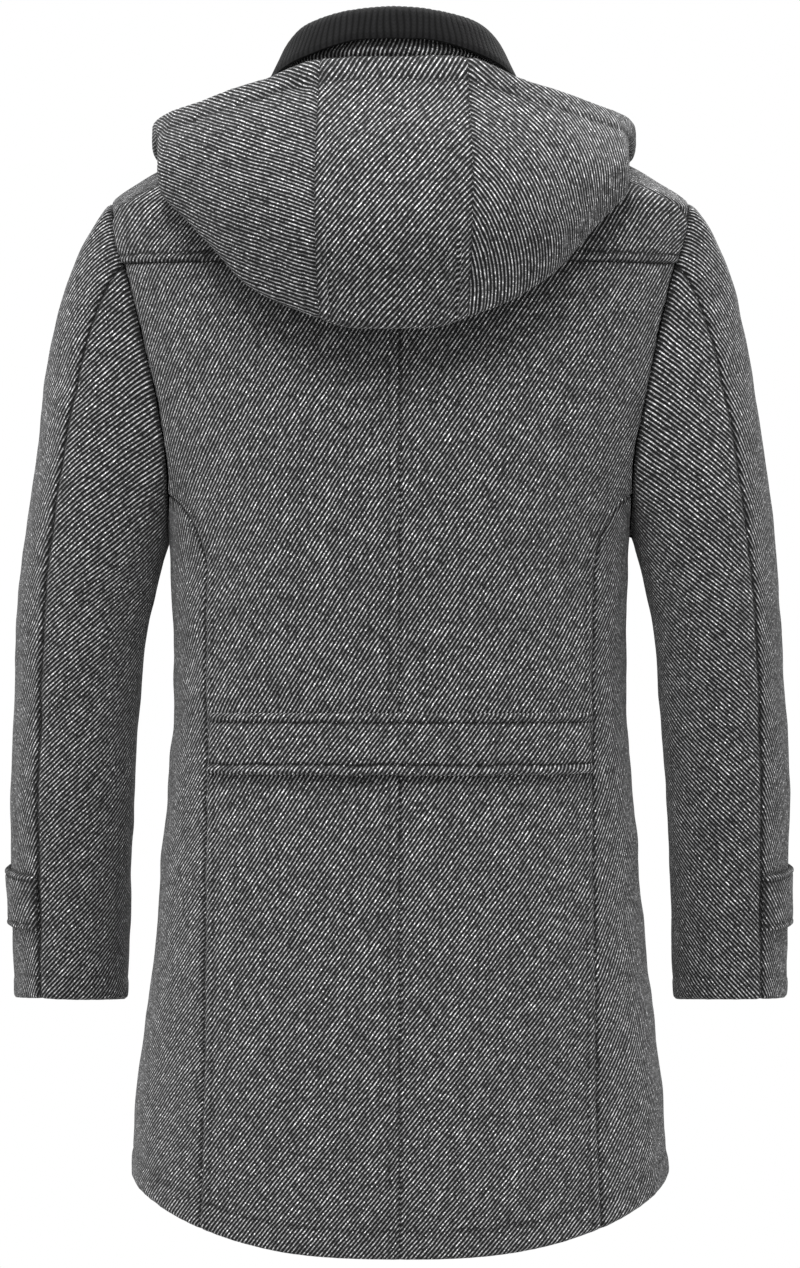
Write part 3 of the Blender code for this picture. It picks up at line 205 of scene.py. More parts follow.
# Section of the knit cloth over the fold, from the fold's top.
FOLD = {
    "columns": ("out", "rise"),
    "rows": ((-0.0036, -0.0035), (0.0003, 0.0), (0.0055, -0.0040)),
}
BELOW_FOLD = (0.0070, -0.0050)  # where the straight fall to the edge starts
KNIT_FOOT_RISE = 0.004  # over the neck seam
KNIT_AT_STAND_TOP = -0.001
COLLAR_GAP = 0.0027  # between the stand and the knit cloth inside it
RIB_PITCH = 0.0043
# Hood: stations along its neck seam, from the centre back to its end at the front neck.
HOOD_SEAM_STATION = 1.0
HOOD = {
    "columns": ("station", "neck_angle", "low_angle", "low_level", "bag", "edge_x", "edge_y", "edge_z"),
    "rows": (
        (0.0, 90.0, 90.0, -0.1545, 0.052, 0.0000, 0.0880, 0.0368),
        (0.5, 67.0, 84.7, -0.1540, 0.052, 0.0272, 0.0878, 0.0367),
        (1.0, 46.0, 79.5, -0.1480, 0.050, 0.0540, 0.0865, 0.0355),
        (2.0, 33.0, 66.0, -0.1240, 0.042, 0.0980, 0.0790, 0.0225),
        (3.0, 21.0, 56.0, -0.0890, 0.028, 0.1370, 0.0630, 0.0115),
        (4.0, 10.0, 45.0, -0.0610, 0.013, 0.1660, 0.0430, 0.0050),
        (4.5, 4.5, 36.0, -0.0430, 0.006, 0.1770, 0.0280, 0.0010),
        (5.0, -1.0, 18.0, -0.0300, 0.004, 0.1815, 0.0120, -0.0035),
        (6.0, -12.0, -9.0, -0.0300, 0.006, 0.1740, -0.0240, -0.0145),
        (7.0, -24.0, -31.0, -0.0270, 0.008, 0.1440, -0.0560, -0.0260),
        (8.0, -36.0, -45.0, -0.0190, 0.006, 0.1100, -0.0710, -0.0320),
        (9.0, -48.0, -54.0, -0.0110, 0.004, 0.0800, -0.0760, -0.0370),
    ),
}
HOOD_END_STATION = 9.0
HOOD_NECK_LEVEL = -0.0012
# Between neck seam and low fold: how far down, and how much of the clearance the cloth keeps.
HOOD_LAY = {"columns": ("share", "clearance"), "rows": ((0.12, 0.8), (0.40, 1.0), (0.70, 1.0))}
# Outside the fold: how far down from the edge, and how much of the bag the cloth stands out.
HOOD_BELLY = {"columns": ("share", "bag"), "rows": ((0.80, 1.0), (0.42, 0.86))}
HOOD_FOLD_DROP = 0.20  # share of the bag by which the fold hangs lower than the cloth on the body
HOOD_FOLD_OUT = 0.45  # share of the bag by which the fold's bottom stands out
HOOD_OUTWARD_BELOW = 0.08  # how far under the fold the body gives the bag its direction
HOOD_NECK_CLEARANCE = 0.0023
HOOD_CLEARANCE = 0.0060
HOOD_TRIES = 41
CURVE_STEPS = 12  # between two stops of a smooth curve
# Half-belt and cuff tabs
BELT_TOP_LEVEL = -0.4430
BELT_BOTTOM_LEVEL = -0.4880
BELT_HALF_LENGTH = 0.1405
BELT_LIFT = 0.0011
TAB_TOP_LEVEL = -0.5640
TAB_BOTTOM_LEVEL = -0.6090
TAB_END_ANGLE = -52.0
TAB_LIFT = 0.0012
TAB_POINT = 0.012
TAB_SHORT_OF_SEAM = 0.6  # degrees
# Buttons
FRONT_BUTTON_TOP_Z = -0.115
FRONT_BUTTON_PITCH = 0.105
FRONT_BUTTONS = 5
FRONT_BUTTON_RADIUS = 0.0135
CUFF_BUTTON_RADIUS = 0.0090
BUTTON_THICKNESS = 0.0042
BUTTON_SEAT = 0.0004  # between a button and the cloth under it
CUFF_BUTTON_FROM_END = 22.0  # degrees from the tab's end
LEFT_FRONT_EDGE = -0.028  # how far over the middle each front reaches
RIGHT_FRONT_EDGE = -0.022
FRONT_FALL = 0.12  # the least fall of a front's lines for each metre along its side
COLLAR_END_X = 0.010


# ---------------------------------------------------------------- the form
def cubic(t, start, end, length, leave, arrive):
    """A smooth curve's value at share t of a length, from its values and slopes at both ends."""
    return (
        (2 * t**3 - 3 * t**2 + 1) * start
        + (t**3 - 2 * t**2 + t) * length * leave
        + (3 * t**2 - 2 * t**3) * end
        + (t**3 - t**2) * length * arrive
    )


def read(table, name, at):
    """The named column at one value or many of the first column, along a smooth curve with no overshoot."""
    rows = np.array(table["rows"], float)
    rows = rows[np.argsort(rows[:, 0])]
    x, y = rows[:, 0], rows[:, table["columns"].index(name)]
    step, slope = np.diff(x), np.diff(y) / np.diff(x)
    product, total = slope[:-1] * slope[1:], slope[:-1] + slope[1:]
    inner = np.where(product > 0, 2 * slope[:-1] * slope[1:] / np.where(total == 0, 1, total), 0.0)
    tangent = np.concatenate([[slope[0]], inner, [slope[-1]]])
    at = np.asarray(at, float)
    i = np.clip(np.searchsorted(x, at) - 1, 0, len(x) - 2)
    t = (at - x[i]) / step[i]
    return cubic(t, y[i], y[i + 1], step[i], tangent[i], tangent[i + 1])


def unit(vectors):
    vectors = np.asarray(vectors, float)
    return vectors / np.maximum(np.linalg.norm(vectors, axis=-1, keepdims=True), 1e-12)


def between(a, b, share):
    return a + (b - a) * share


def mirrored(points):
    return points * np.array([-1.0, 1.0, 1.0])


def signed_power(value, power):
    return np.sign(value) * np.abs(value) ** power


def body_point(angle, level):
    """The form's surface at an angle and a level."""
    angle, level = np.broadcast_arrays(np.asarray(angle, float), np.asarray(level, float))
    power = 2 / read(BODY, "squareness", level)
    turn = np.radians(angle)
    sideways, backward = signed_power(np.cos(turn), power), signed_power(np.sin(turn), power)
    depth = np.where(backward > 0, read(BODY, "back", level), read(BODY, "front", level))
    drop = read(BODY, "front_drop", level) * np.maximum(0, -np.sin(turn)) ** FRONT_DROP_POWER
    return np.stack([read(BODY, "half_width", level) * sideways, depth * backward, level - drop], axis=-1)


def body_normal(angle, level):
    turn, rise = 1.0, 0.0015
    level = np.minimum(level, NECK_LEVEL - rise)
    round_it = body_point(np.add(angle, turn), level) - body_point(np.subtract(angle, turn), level)
    up_it = body_point(angle, level + rise) - body_point(angle, level - rise)
    return unit(np.cross(round_it, up_it))


def places_at(angle, level):
    """Places on the body form, from angles and levels."""
    return np.stack(np.broadcast_arrays(angle, level), axis=-1)


def point_at(places):
    return body_point(places[..., 0], places[..., 1])


def form_at(places):
    """Points and normals of the body form."""
    return point_at(places), body_normal(places[..., 0], places[..., 1])


def angle_at_x(x, level, front=False):
    """The angle where the form is x out from the middle, on its back or its front."""
    half_width = read(BODY, "half_width", level)
    share = np.clip(np.abs(x) / half_width, 0, 1) ** (read(BODY, "squareness", level) / 2)
    angle = np.degrees(np.arccos(share))
    angle = np.where(np.asarray(x) < 0, 180 - angle, angle)
    return -angle if front else angle


def body_under(points):
    """(angle, level) of the form's surface straight under or over points, on its upper part."""
    x, y = np.abs(points[..., 0]), points[..., 1]
    high, low = np.zeros(x.shape), np.full(x.shape, FULL_WIDTH_LEVEL)
    for _ in range(HALVINGS):
        level = (high + low) / 2
        depth = np.where(y > 0, read(BODY, "back", level), read(BODY, "front", level))
        power = read(BODY, "squareness", level)
        outside = (x / read(BODY, "half_width", level)) ** power + (np.abs(y) / depth) ** power > 1
        high, low = np.where(outside, level, high), np.where(outside, low, level)
    share = np.clip(x / read(BODY, "half_width", level), 0, 1) ** (power / 2)
    return np.degrees(np.arccos(share)) * np.where(y < 0, -1, 1), level


def nearest_place(points, places):
    """(angle, level) of the form's surface nearest to points, worked out from places near them."""
    turn, fall = 0.2, 0.0005
    most = np.array([4.0, 0.012])  # degrees and metres in one step
    places = places.copy()
    for _ in range(NEAREST_STEPS):
        here = point_at(places)
        by_angle = (body_point(places[..., 0] + turn, places[..., 1]) - here) / turn
        by_level = (here - body_point(places[..., 0], places[..., 1] - fall)) / fall
        slopes = np.stack([by_angle, by_level], axis=-1)
        square = np.swapaxes(slopes, -1, -2) @ slopes
        pull = np.swapaxes(slopes, -1, -2) @ (points - here)[..., None]
        move = np.linalg.solve(square, pull)[..., 0]
        places += np.clip(move, -most, most)
        places[..., 1] = np.minimum(places[..., 1], NECK_LEVEL)
    return places


def hem_level(angle, front=False):
    """The hem is level with its sides' at the sides and hangs lower at the middle."""
    dip = HEM_FRONT_DIP if front else HEM_BACK_DIP
    return HEM_SIDE_LEVEL - dip * (1 - np.abs(np.cos(np.radians(angle))) ** HEM_CURVE)


def armhole_place(around):
    """(angle, level) on the form of a place on the armhole, in degrees round it from its top."""
    around = np.asarray(around, float)
    middle, reach = (ARMHOLE_TOP + ARMHOLE_BOTTOM) / 2, (ARMHOLE_TOP - ARMHOLE_BOTTOM) / 2
    level = middle + reach * np.cos(np.radians(around))
    widest = read(BODY, "half_width", level)
    behind = angle_at_x(np.minimum(read(ARMHOLE, "back_x", level), widest), level)
    before = -angle_at_x(np.minimum(read(ARMHOLE, "front_x", level), widest), level)
    return places_at(np.where(np.sin(np.radians(around)) >= 0, behind, before), level)


def armhole_through(around):
    """The way through the cloth that body and sleeve share at places of the armhole."""
    before, after = armhole_place(around - 2), armhole_place(around + 2)
    along = unit(point_at(after) - point_at(before))
    sleeve_normal = unit(np.cross(cap_direction(around), along))
    return unit(form_at(armhole_place(around))[1] + sleeve_normal)


def cap_direction(around):
    """The way in which the sleeve leaves the armhole."""
    turn = np.radians(around)
    outward = between(CAP_OUTWARD_BOTTOM, CAP_OUTWARD_TOP, (1 + np.cos(turn)) / 2)
    sideways = CAP_SIDEWAYS * np.sin(turn)
    down = -np.sqrt(np.maximum(1 - outward**2 - sideways**2, 0.05))
    return unit(np.stack([outward, sideways, down], axis=-1))


def sleeve_tube_point(around, level):
    """The sleeve below the armpit: sections that lean sideways with its centre line."""
    around, level = np.broadcast_arrays(np.asarray(around, float), np.asarray(level, float))
    out = read(SLEEVE, "half_width", level) * np.cos(np.radians(around))
    back = read(SLEEVE, "half_depth", level) * np.sin(np.radians(around))
    rise = 0.004
    lean_x = (read(SLEEVE, "centre_x", level + rise) - read(SLEEVE, "centre_x", level - rise)) / (2 * rise)
    x, y = read(SLEEVE, "centre_x", level) + out, read(SLEEVE, "centre_y", level) + back
    return np.stack([x, y, level - lean_x * out - read(SLEEVE, "fall_back", level) * back], axis=-1)


def sleeve_cap_point(start, around, share):
    """From the armhole (share 0) to the tube's first ring (share 1) along one smooth curve."""
    first = point_at(armhole_place(start))
    last = sleeve_tube_point(around, SLEEVE_RING)
    length = np.linalg.norm(last - first, axis=-1, keepdims=True)
    below = sleeve_tube_point(around, SLEEVE_RING - 0.01)
    way_in = unit(last - below)
    near = first + cap_direction(start) * length * CAP_START_REACH
    far = last + way_in * length * CAP_END_REACH
    s = np.asarray(share, float)[..., None]
    return (1 - s) ** 3 * first + 3 * (1 - s) ** 2 * s * near + 3 * (1 - s) * s**2 * far + s**3 * last


def grid_normals(points):
    """Unit normals of a grid of points, from its rows and columns."""
    down = np.gradient(points, axis=0)
    across = np.gradient(points, axis=1)
    return unit(np.cross(down, across))


def line_at_x(x, levels, front=False):
    return places_at(angle_at_x(x, levels, front), levels)


def spread(values, first, last):
    """Values moved and scaled to run from first to last."""
    values = np.asarray(values, float)
    return first + (values - values[0]) * (last - first) / (values[-1] - values[0])


def shoulder_line(count):
    """(angle, level) places from the side of the neck to the armhole."""
    end = armhole_place(AT_SHOULDER_SEAM)
    level = np.linspace(NECK_LEVEL, end[1], count)
    angle = read(SHOULDER_SEAM, "angle", level)
    angle[-1] = end[0]
    return places_at(angle, level)


def neck_outward(angle):
    """The level direction out of the neckline."""
    along = body_point(np.add(angle, 1), NECK_LEVEL) - body_point(np.subtract(angle, 1), NECK_LEVEL)
    return unit(np.stack([along[..., 1], -along[..., 0], np.zeros(np.shape(angle))], axis=-1))


def folded(angle):
    """The collar's table is given for one half: the angle on that half."""
    return np.where(np.asarray(angle) > 90, 180 - np.asarray(angle), np.asarray(angle))


def collar_place(angle, out, height):
    """Points a distance out of the neckline, at heights of their own."""
    points = body_point(angle, NECK_LEVEL) + neck_outward(angle) * np.asarray(out)[..., None]
    points[..., 2] = height
    return points


def stand_top(angle):
    side = folded(angle)
    out = read(COLLAR, "fold_out", side) * STAND_LEAN
    return out, read(COLLAR, "fold_z", side) - STAND_BELOW_FOLD


def leaned(points):
    """Points of the collar or the hood, moved to the wearer's left in step with their way from the neck."""
    across, back = points[..., 0] / read(BODY, "half_width", NECK_LEVEL), points[..., 1]
    angle = np.degrees(np.arctan2(back / read(BODY, "back", NECK_LEVEL), across))
    away = np.linalg.norm(points - body_point(angle, NECK_LEVEL), axis=-1)
    share = np.clip(away / LEAN_REACH, 0, 1)
    moved = points.copy()
    moved[..., 0] += NECK_LEAN * share**2 * (3 - 2 * share)
    return moved


def collar_path(angle):
    """Middle of the knit cloth at one angle: up inside the stand, over the fold and down outside."""
    side = folded(angle)
    fold_out, fold_z = read(COLLAR, "fold_out", side), read(COLLAR, "fold_z", side)
    edge_out, edge_z = read(COLLAR, "edge_out", side), read(COLLAR, "edge_z", side)
    stand_out, stand_z = stand_top(angle)
    neck_z = body_point(angle, NECK_LEVEL)[..., 2]
    inside = WALL + COLLAR_GAP + KNIT_WALL / 2
    fall_out, fall_z = fold_out + BELOW_FOLD[0], fold_z + BELOW_FOLD[1]
    rows = [(-inside, neck_z + KNIT_FOOT_RISE), (stand_out - inside, stand_z + KNIT_AT_STAND_TOP)]
    rows += [(fold_out + out, fold_z + rise) for out, rise in FOLD["rows"]]
    rows += [((fall_out + edge_out) / 2, (fall_z + edge_z) / 2), (edge_out, edge_z)]
    return np.array([collar_place(angle, out, height) for out, height in rows])


def hood_path(station, rows):
    """Middle of the hood's cloth at stations.

    It runs from the neck seam down over the coat, round the low fold and up outside to the edge of the
    face opening.
    """
    station = np.asarray(station, float)
    column = {name: read(HOOD, name, station) for name in HOOD["columns"][1:]}
    half = WALL / 2

    neck = body_point(column["neck_angle"], HOOD_NECK_LEVEL)
    last = body_point(column["low_angle"], column["low_level"])
    shares = np.linspace(0, 1, HOOD_TRIES)[:, None, None]
    angles, levels = body_under(between(neck[None], last[None], shares))
    line = body_point(angles, levels)
    travel = travelled(line)
    travel /= travel[-1]

    def on_body(share, clearance):
        """A share of the way from the neck seam to the low fold, straight out over the form."""
        angle = [np.interp(share, travel[:, j], angles[:, j]) for j in range(travel.shape[1])]
        level = [np.interp(share, travel[:, j], levels[:, j]) for j in range(travel.shape[1])]
        return body_point(angle, level) + body_normal(angle, level) * (clearance + half)

    bag = column["bag"]
    low = on_body(1.0, HOOD_CLEARANCE)
    drop_level = column["low_level"] - HOOD_FOLD_DROP * bag
    stand_off = (HOOD_CLEARANCE + half + HOOD_FOLD_OUT * bag)[..., None]
    bottom = body_point(column["low_angle"], drop_level)
    bottom = bottom + body_normal(column["low_angle"], drop_level) * stand_off
    edge = np.stack([column["edge_x"], column["edge_y"], column["edge_z"]], axis=-1)
    way = body_normal(column["low_angle"], column["low_level"] - HOOD_OUTWARD_BELOW)
    way = unit(way * np.array([1, 1, 0]))
    stops = [on_body(0.0, HOOD_NECK_CLEARANCE)]
    stops += [on_body(share, keeps * HOOD_CLEARANCE) for share, keeps in HOOD_LAY["rows"]]
    stops += [low, bottom]
    stops += [between(edge, low, share) + way * (out * bag)[..., None] for share, out in HOOD_BELLY["rows"]]
    stops.append(edge)
    return smooth_through(np.array(stops), rows)


def smooth_through(stops, rows):
    """Even points along a smooth curve through the stops (stops first, then columns)."""
    ahead = 2 * stops[-1] - stops[-2]
    behind = 2 * stops[0] - stops[1]
    knots = np.concatenate([behind[None], stops, ahead[None]])
    fine = []
    for k in range(1, len(knots) - 2):
        a, b, c, d = knots[k - 1 : k + 3]
        pairs = (b - a, c - b, d - c)
        ab, bc, cd = (np.sqrt(np.linalg.norm(way, axis=-1, keepdims=True)) + 1e-6 for way in pairs)
        leave = (b - a) / ab - (c - a) / (ab + bc) + (c - b) / bc
        arrive = (c - b) / bc - (d - b) / (bc + cd) + (d - c) / cd
        fine += [cubic(t, b, c, bc, leave, arrive) for t in np.linspace(0, 1, CURVE_STEPS, endpoint=False)]
    fine.append(stops[-1])
    fine = np.array(fine)
    travel = travelled(fine)
    out = np.empty((rows + 1, stops.shape[1], 3))
    for j in range(stops.shape[1]):
        at = np.linspace(0, travel[-1, j], rows + 1)
        for axis in range(3):
            out[:, j, axis] = np.interp(at, travel[:, j], fine[:, j, axis])
    return out


def hood_normals(station, rows):
    """Normals of the hood's cloth, pointing to the side that shows."""
    step = 0.08
    stack = [hood_path(at, rows) for at in (np.maximum(station - step, 0), station, station + step)]
    across = stack[2] - stack[0]
    down = np.gradient(stack[1], axis=0)
    normals = unit(np.cross(down, across))
    at_middle = np.asarray(station) < 1e-9
    normals[:, at_middle] = unit(normals[:, at_middle] * np.array([0, 1, 1]))
    return normals


# ---------------------------------------------------------------- fine grids
STEP = 0.0027  # between the lines of a fine grid
NEAR_STEPS = (0.0007,) * 4 + (0.0011,) * 8 + (0.0018,) * 3  # from a sewn side inwards
INNER_EVERY = 4  # the inner face of a shell has every fourth line of its outer face
FINE = 400  # samples along a seam line
HEM_TRIES = 6  # of a search for where a long seam meets the hem
BELOW_ARMHOLE = 0.002  # how far under the armhole the line of a long seam starts


def graded(length, first=True, last=True):
    """Shares of a length, close together near its sewn ends."""
    near = np.concatenate([[0], np.cumsum(NEAR_STEPS)])
    near *= min(1.0, length / (3 * near[-1]))
    low = near if first else near[:1]
    high = length - near[::-1] if last else np.array([length])
    steps = max(2, int(np.ceil((high[0] - low[-1]) / STEP)))
    middle = np.linspace(low[-1], high[0], steps + 1)[1:-1]
    return np.concatenate([low, middle, high]) / length


def travelled(points):
    """Length along a line of points, or along each column of a grid of them."""
    step = np.linalg.norm(np.diff(points, axis=0), axis=-1)
    return np.concatenate([np.zeros((1, *step.shape[1:])), np.cumsum(step, axis=0)])


def travelled_across(points):
    """Length along each row of a grid of points."""
    return np.swapaxes(travelled(np.swapaxes(points, 0, 1)), 0, 1)


def line_length(line):
    return float(travelled(point_at(line))[-1])


def on_line(line, shares):
    """Places at shares of the length of a line of places on the body form."""
    travel = travelled(point_at(line))
    at = np.asarray(shares) * travel[-1]
    return np.stack([np.interp(at, travel, line[:, k]) for k in (0, 1)], axis=-1)


def with_corner(shares, corner):
    """The shares, with the nearest one moved onto a corner of the line."""
    shares = shares.copy()
    shares[np.argmin(np.abs(shares - corner))] = corner
    return shares


def armhole_line(start, end):
    return armhole_place(np.linspace(start, end, FINE))


def seam_line(table, start_level, front):
    """Places down a long seam to the hem."""
    low = HEM_SIDE_LEVEL
    for _ in range(HEM_TRIES):
        low_angle = float(angle_at_x(read(table, "x", low), low, front))
        low = float(hem_level(low_angle, front))
    levels = np.linspace(start_level, low, FINE)
    return line_at_x(read(table, "x", levels), levels, front)


def down_the_side(start, end, table, front):
    """The armhole from one place to another and the seam on from there.

    It gives the fine grid's places and their shares of the length, the share at the corner, and the length.
    """
    upper = armhole_line(start, end)
    line = np.concatenate([upper, seam_line(table, upper[-1, 1] - BELOW_ARMHOLE, front)])
    length = line_length(line)
    corner = line_length(upper) / length
    shares = with_corner(graded(length), corner)
    return on_line(line, shares), shares, corner, length


def coons(top, bottom, first, last, u, v):
    """A grid inside four boundary lines, at shares u across and v down."""
    v, u = v[:, None, None], u[None, :, None]
    corners = (
        (1 - v) * (1 - u) * top[0]
        + (1 - v) * u * top[-1]
        + v * (1 - u) * bottom[0]
        + v * u * bottom[-1]
    )
    return (1 - v) * top[None] + v * bottom[None] + (1 - u) * first[:, None] + u * last[:, None] - corners


def even_places(borders, u, v):
    """The same, with the inner places as even over the form itself as they can be."""
    places = coons(*borders, u, v)
    in_space = coons(*(point_at(line) for line in borders), u, v)
    places[1:-1, 1:-1] = nearest_place(in_space, places)[1:-1, 1:-1]
    return places


def facing_out(points, normals):
    """A tube's normals, turned away from the middle of each ring."""
    inward = ((points - points.mean(axis=1, keepdims=True)) * normals).sum() < 0
    return -normals if inward else normals


# ---------------------------------------------------------------- relief of the cloth
UNEVEN = ((0.120, 0.0009), (0.055, 0.0004), (0.024, 0.00018))  # length of a wave, height
UNEVEN_SEED = 11
WAVES = 7
RIPPLES = (0.0117, 0.0078, 0.0193, 0.0510)  # lengths of the waves along a seam

# Soft creases, as lines seen from behind: from (across, up) to (across, up). bow bends the line, and a
# ridge has a height over 0.
CREASES = {
    "columns": ("pieces", "across_1", "up_1", "across_2", "up_2", "bow", "width", "height"),
    "rows": (
        ("hood", 0.060, -0.020, 0.052, -0.150, 0.006, 0.012, -0.0022),
        ("hood", -0.052, -0.024, -0.046, -0.150, -0.006, 0.012, -0.0022),
        ("hood", 0.118, -0.030, 0.090, -0.100, 0.010, 0.016, -0.0020),
        ("hood", -0.112, -0.020, -0.092, -0.095, -0.012, 0.015, -0.0022),
        ("hood", 0.082, 0.018, 0.066, 0.012, 0.000, 0.006, -0.0020),
        ("sleeve", 0.262, -0.180, 0.215, -0.215, 0.006, 0.014, -0.0020),
        ("sleeve", -0.262, -0.185, -0.212, -0.212, -0.006, 0.013, -0.0018),
        ("sleeve", 0.275, -0.440, 0.228, -0.462, 0.005, 0.012, -0.0018),
        ("sleeve", -0.275, -0.450, -0.226, -0.468, -0.004, 0.012, -0.0018),
        ("body", 0.150, -0.300, 0.090, -0.380, 0.010, 0.020, -0.0016),
        ("body", -0.150, -0.300, -0.095, -0.372, -0.010, 0.020, -0.0016),
    ),
}
CREASE_ENDS = 0.7  # how bluntly a crease runs out


def soft_step(x):
    x = np.clip(x, 0, 1)
    return x * x * (3 - 2 * x)


def hill(x, width):
    return np.exp(-((x / width) ** 2))


def unevenness(points):
    """Slow waves of the cloth, the same on both sides of a seam."""
    rng = np.random.default_rng(UNEVEN_SEED)
    total = np.zeros(points.shape[:-1])
    for length, height in UNEVEN:
        for _ in range(WAVES):
            way = unit(rng.normal(size=3))
            phase = rng.uniform(0, 2 * math.pi)
            total += np.sin(points @ way * 2 * math.pi / length + phase) * height / math.sqrt(WAVES)
    return total


def creases(points, normals, kind):
    total = np.zeros(points.shape[:-1])
    facing_back = np.clip(2 * normals[..., 1], 0, 1)
    for pieces, *line in CREASES["rows"]:
        if pieces != kind:
            continue
        start, end, (bow, width, height) = np.array(line[:2]), np.array(line[2:4]), line[4:]
        flat = points[..., (0, 2)] - start
        length = np.linalg.norm(end - start)
        way = (end - start) / length
        share = (flat @ way) / length
        off = flat @ np.array([-way[1], way[0]]) - bow * 4 * share * (1 - share)
        taper = np.sin(np.pi * np.clip(share, 0, 1)) ** CREASE_ENDS
        total += height * taper * facing_back * hill(off, width)
    return total


def ripple(along, seed):
    """An uneven wave along a seam, from -1 to 1."""
    rng = np.random.default_rng(seed)
    total = np.zeros(np.shape(along))
    for length in RIPPLES:
        total += np.sin(2 * math.pi * along / length + rng.uniform(0, 2 * math.pi))
    return total / len(RIPPLES)


# How a side of a piece is finished. valley: its depth at the seam, and its half-width. stitch: how far in
# the topstitching runs, its depth and half-width. roll: how proud the cloth stands between the two.
# shade: how dark the shade painted into the seam's valley and topstitching is, from 0 to 1.
FINISH = {
    "columns": ("valley", "valley_width", "stitch", "stitch_depth", "stitch_width", "roll", "shade"),
    "seam": (0.0012, 0.0022, 0.0, 0.0, 0.001, 0.0, 0.45),
    "faint_seam": (0.0007, 0.0016, 0.0, 0.0, 0.001, 0.0, 0.24),
    "stitched_seam": (0.0009, 0.0017, 0.0078, 0.0004, 0.0011, 0.0003, 0.27),
    "yoke_edge": (0.0016, 0.0018, 0.0076, 0.0006, 0.0012, 0.0009, 0.80),
    "sleeve_seam": (0.0017, 0.0022, 0.0, 0.0, 0.001, 0.0, 0.68),
    "armhole": (0.0022, 0.0036, 0.0, 0.0, 0.001, 0.0, 0.46),
    "armhole_top": (0.0010, 0.0022, 0.0, 0.0, 0.001, 0.0, 0.30),
    "hood_seam": (0.0009, 0.0022, 0.0, 0.0, 0.001, 0.0, 0.22),
    "hem": (0.0016, 0.0012, 0.0200, 0.0006, 0.0014, 0.0006, 0.32),
    "cuff": (0.0016, 0.0012, 0.0180, 0.0005, 0.0014, 0.0005, 0.26),
    "edge": (0.0016, 0.0012, 0.0070, 0.0007, 0.0012, 0.0006, 0.50),
    "hood_edge": (0.0014, 0.0014, 0.0240, 0.0009, 0.0022, 0.0006, 0.40),
    "tab_edge": (0.0014, 0.0011, 0.0050, 0.0006, 0.0011, 0.0005, 0.60),
}
STITCH_LENGTH = 0.0042
STITCH_DRIFT = 0.0003  # how far the topstitching strays from its line
STITCH_PAINTED_SHADE = 0.8  # of the seam's shade
ROLL_SIDES = 0.3  # share of the roll's width in which it rises, and falls again


def finish_of(kind):
    return dict(zip(FINISH["columns"], FINISH[kind]))


def side_relief(kind, distance, along, seed):
    """Relief and painted shade beside one side of a piece, by distance from it and length along it."""
    finish = finish_of(kind)
    uneven = ripple(along, seed)
    relief = -finish["valley"] * (1 + 0.35 * uneven) * hill(distance, finish["valley_width"])
    # Painted shade, darker in the seam's valley and in the topstitching's groove, where shadow falls.
    painted_shade = finish["shade"] * (0.85 + 0.15 * uneven) * hill(distance, 0.8 * finish["valley_width"])
    if finish["stitch"]:
        drift = finish["stitch"] + STITCH_DRIFT * ripple(along + 1.0, seed + 1)
        stitches = 0.65 + 0.35 * np.cos(2 * math.pi * along / STITCH_LENGTH)
        groove = hill(distance - drift, finish["stitch_width"]) * stitches * (1 + 0.3 * uneven)
        rise = ROLL_SIDES * finish["stitch"]
        roll = soft_step(distance / rise) * soft_step((finish["stitch"] - distance) / rise)
        relief += finish["roll"] * roll * (1 + 0.25 * uneven) - finish["stitch_depth"] * groove
        painted_shade = np.maximum(painted_shade, STITCH_PAINTED_SHADE * finish["shade"] * groove)
    return relief, painted_shade


# ---------------------------------------------------------------- shells
SHARP_SHELL, SHARP_BUTTON = 60, 35  # degrees, over which an edge is sharp
HEM_EXTRA = 0.0024  # a hem is turned up, so its wall is about twice as thick
HEM_FADE = 0.002
SIDE_FADE = 0.02  # share of a side in which its finish runs out
WALE_SHIFT = 0.0137  # keeps the wales of two pieces from lining up


def sides_of(points):
    """For each side of a grid: each point's distance from it, and its length along it."""
    across, down = travelled_across(points), travelled(points)
    return {
        "first_row": (down, across),
        "last_row": (down[-1:] - down, across),
        "first_column": (across, down),
        "last_column": (across[:, -1:] - across, down),
    }


def kept_lines(count):
    return sorted(set(range(0, count, INNER_EVERY)) | {count - 1})


def shell_faces(rows, columns):
    """Faces of a closed shell: a fine outer grid, a coarser inner one and the rim between them."""
    few_rows, few_columns = kept_lines(rows), kept_lines(columns)
    inner_start, wide = rows * columns, len(few_columns)

    def out(i, j):
        return i * columns + j

    def back(a, b):
        return inner_start + a * wide + b

    i, j = np.meshgrid(np.arange(rows - 1), np.arange(columns - 1), indexing="ij")
    outer = np.stack([out(i, j), out(i + 1, j), out(i + 1, j + 1), out(i, j + 1)], axis=-1)
    a, b = np.meshgrid(np.arange(len(few_rows) - 1), np.arange(wide - 1), indexing="ij")
    inner = np.stack([back(a, b), back(a, b + 1), back(a + 1, b + 1), back(a + 1, b)], axis=-1)
    faces = outer.reshape(-1, 4).tolist() + inner.reshape(-1, 4).tolist()
    for k, (low, high) in enumerate(zip(few_columns, few_columns[1:])):
        run = list(range(low, high + 1))
        faces.append([out(0, j) for j in run] + [back(0, k + 1), back(0, k)])
        last = len(few_rows) - 1
        faces.append([out(rows - 1, j) for j in run[::-1]] + [back(last, k), back(last, k + 1)])
    for k, (low, high) in enumerate(zip(few_rows, few_rows[1:])):
        run = list(range(low, high + 1))
        faces.append([out(i, 0) for i in run[::-1]] + [back(k, 0), back(k + 1, 0)])
        faces.append([out(i, columns - 1) for i in run] + [back(k + 1, wide - 1), back(k, wide - 1)])
    return faces, few_rows, few_columns


def add_object(name, data):
    made = bpy.data.objects.new(name, data)
    bpy.context.scene.collection.objects.link(made)
    return made


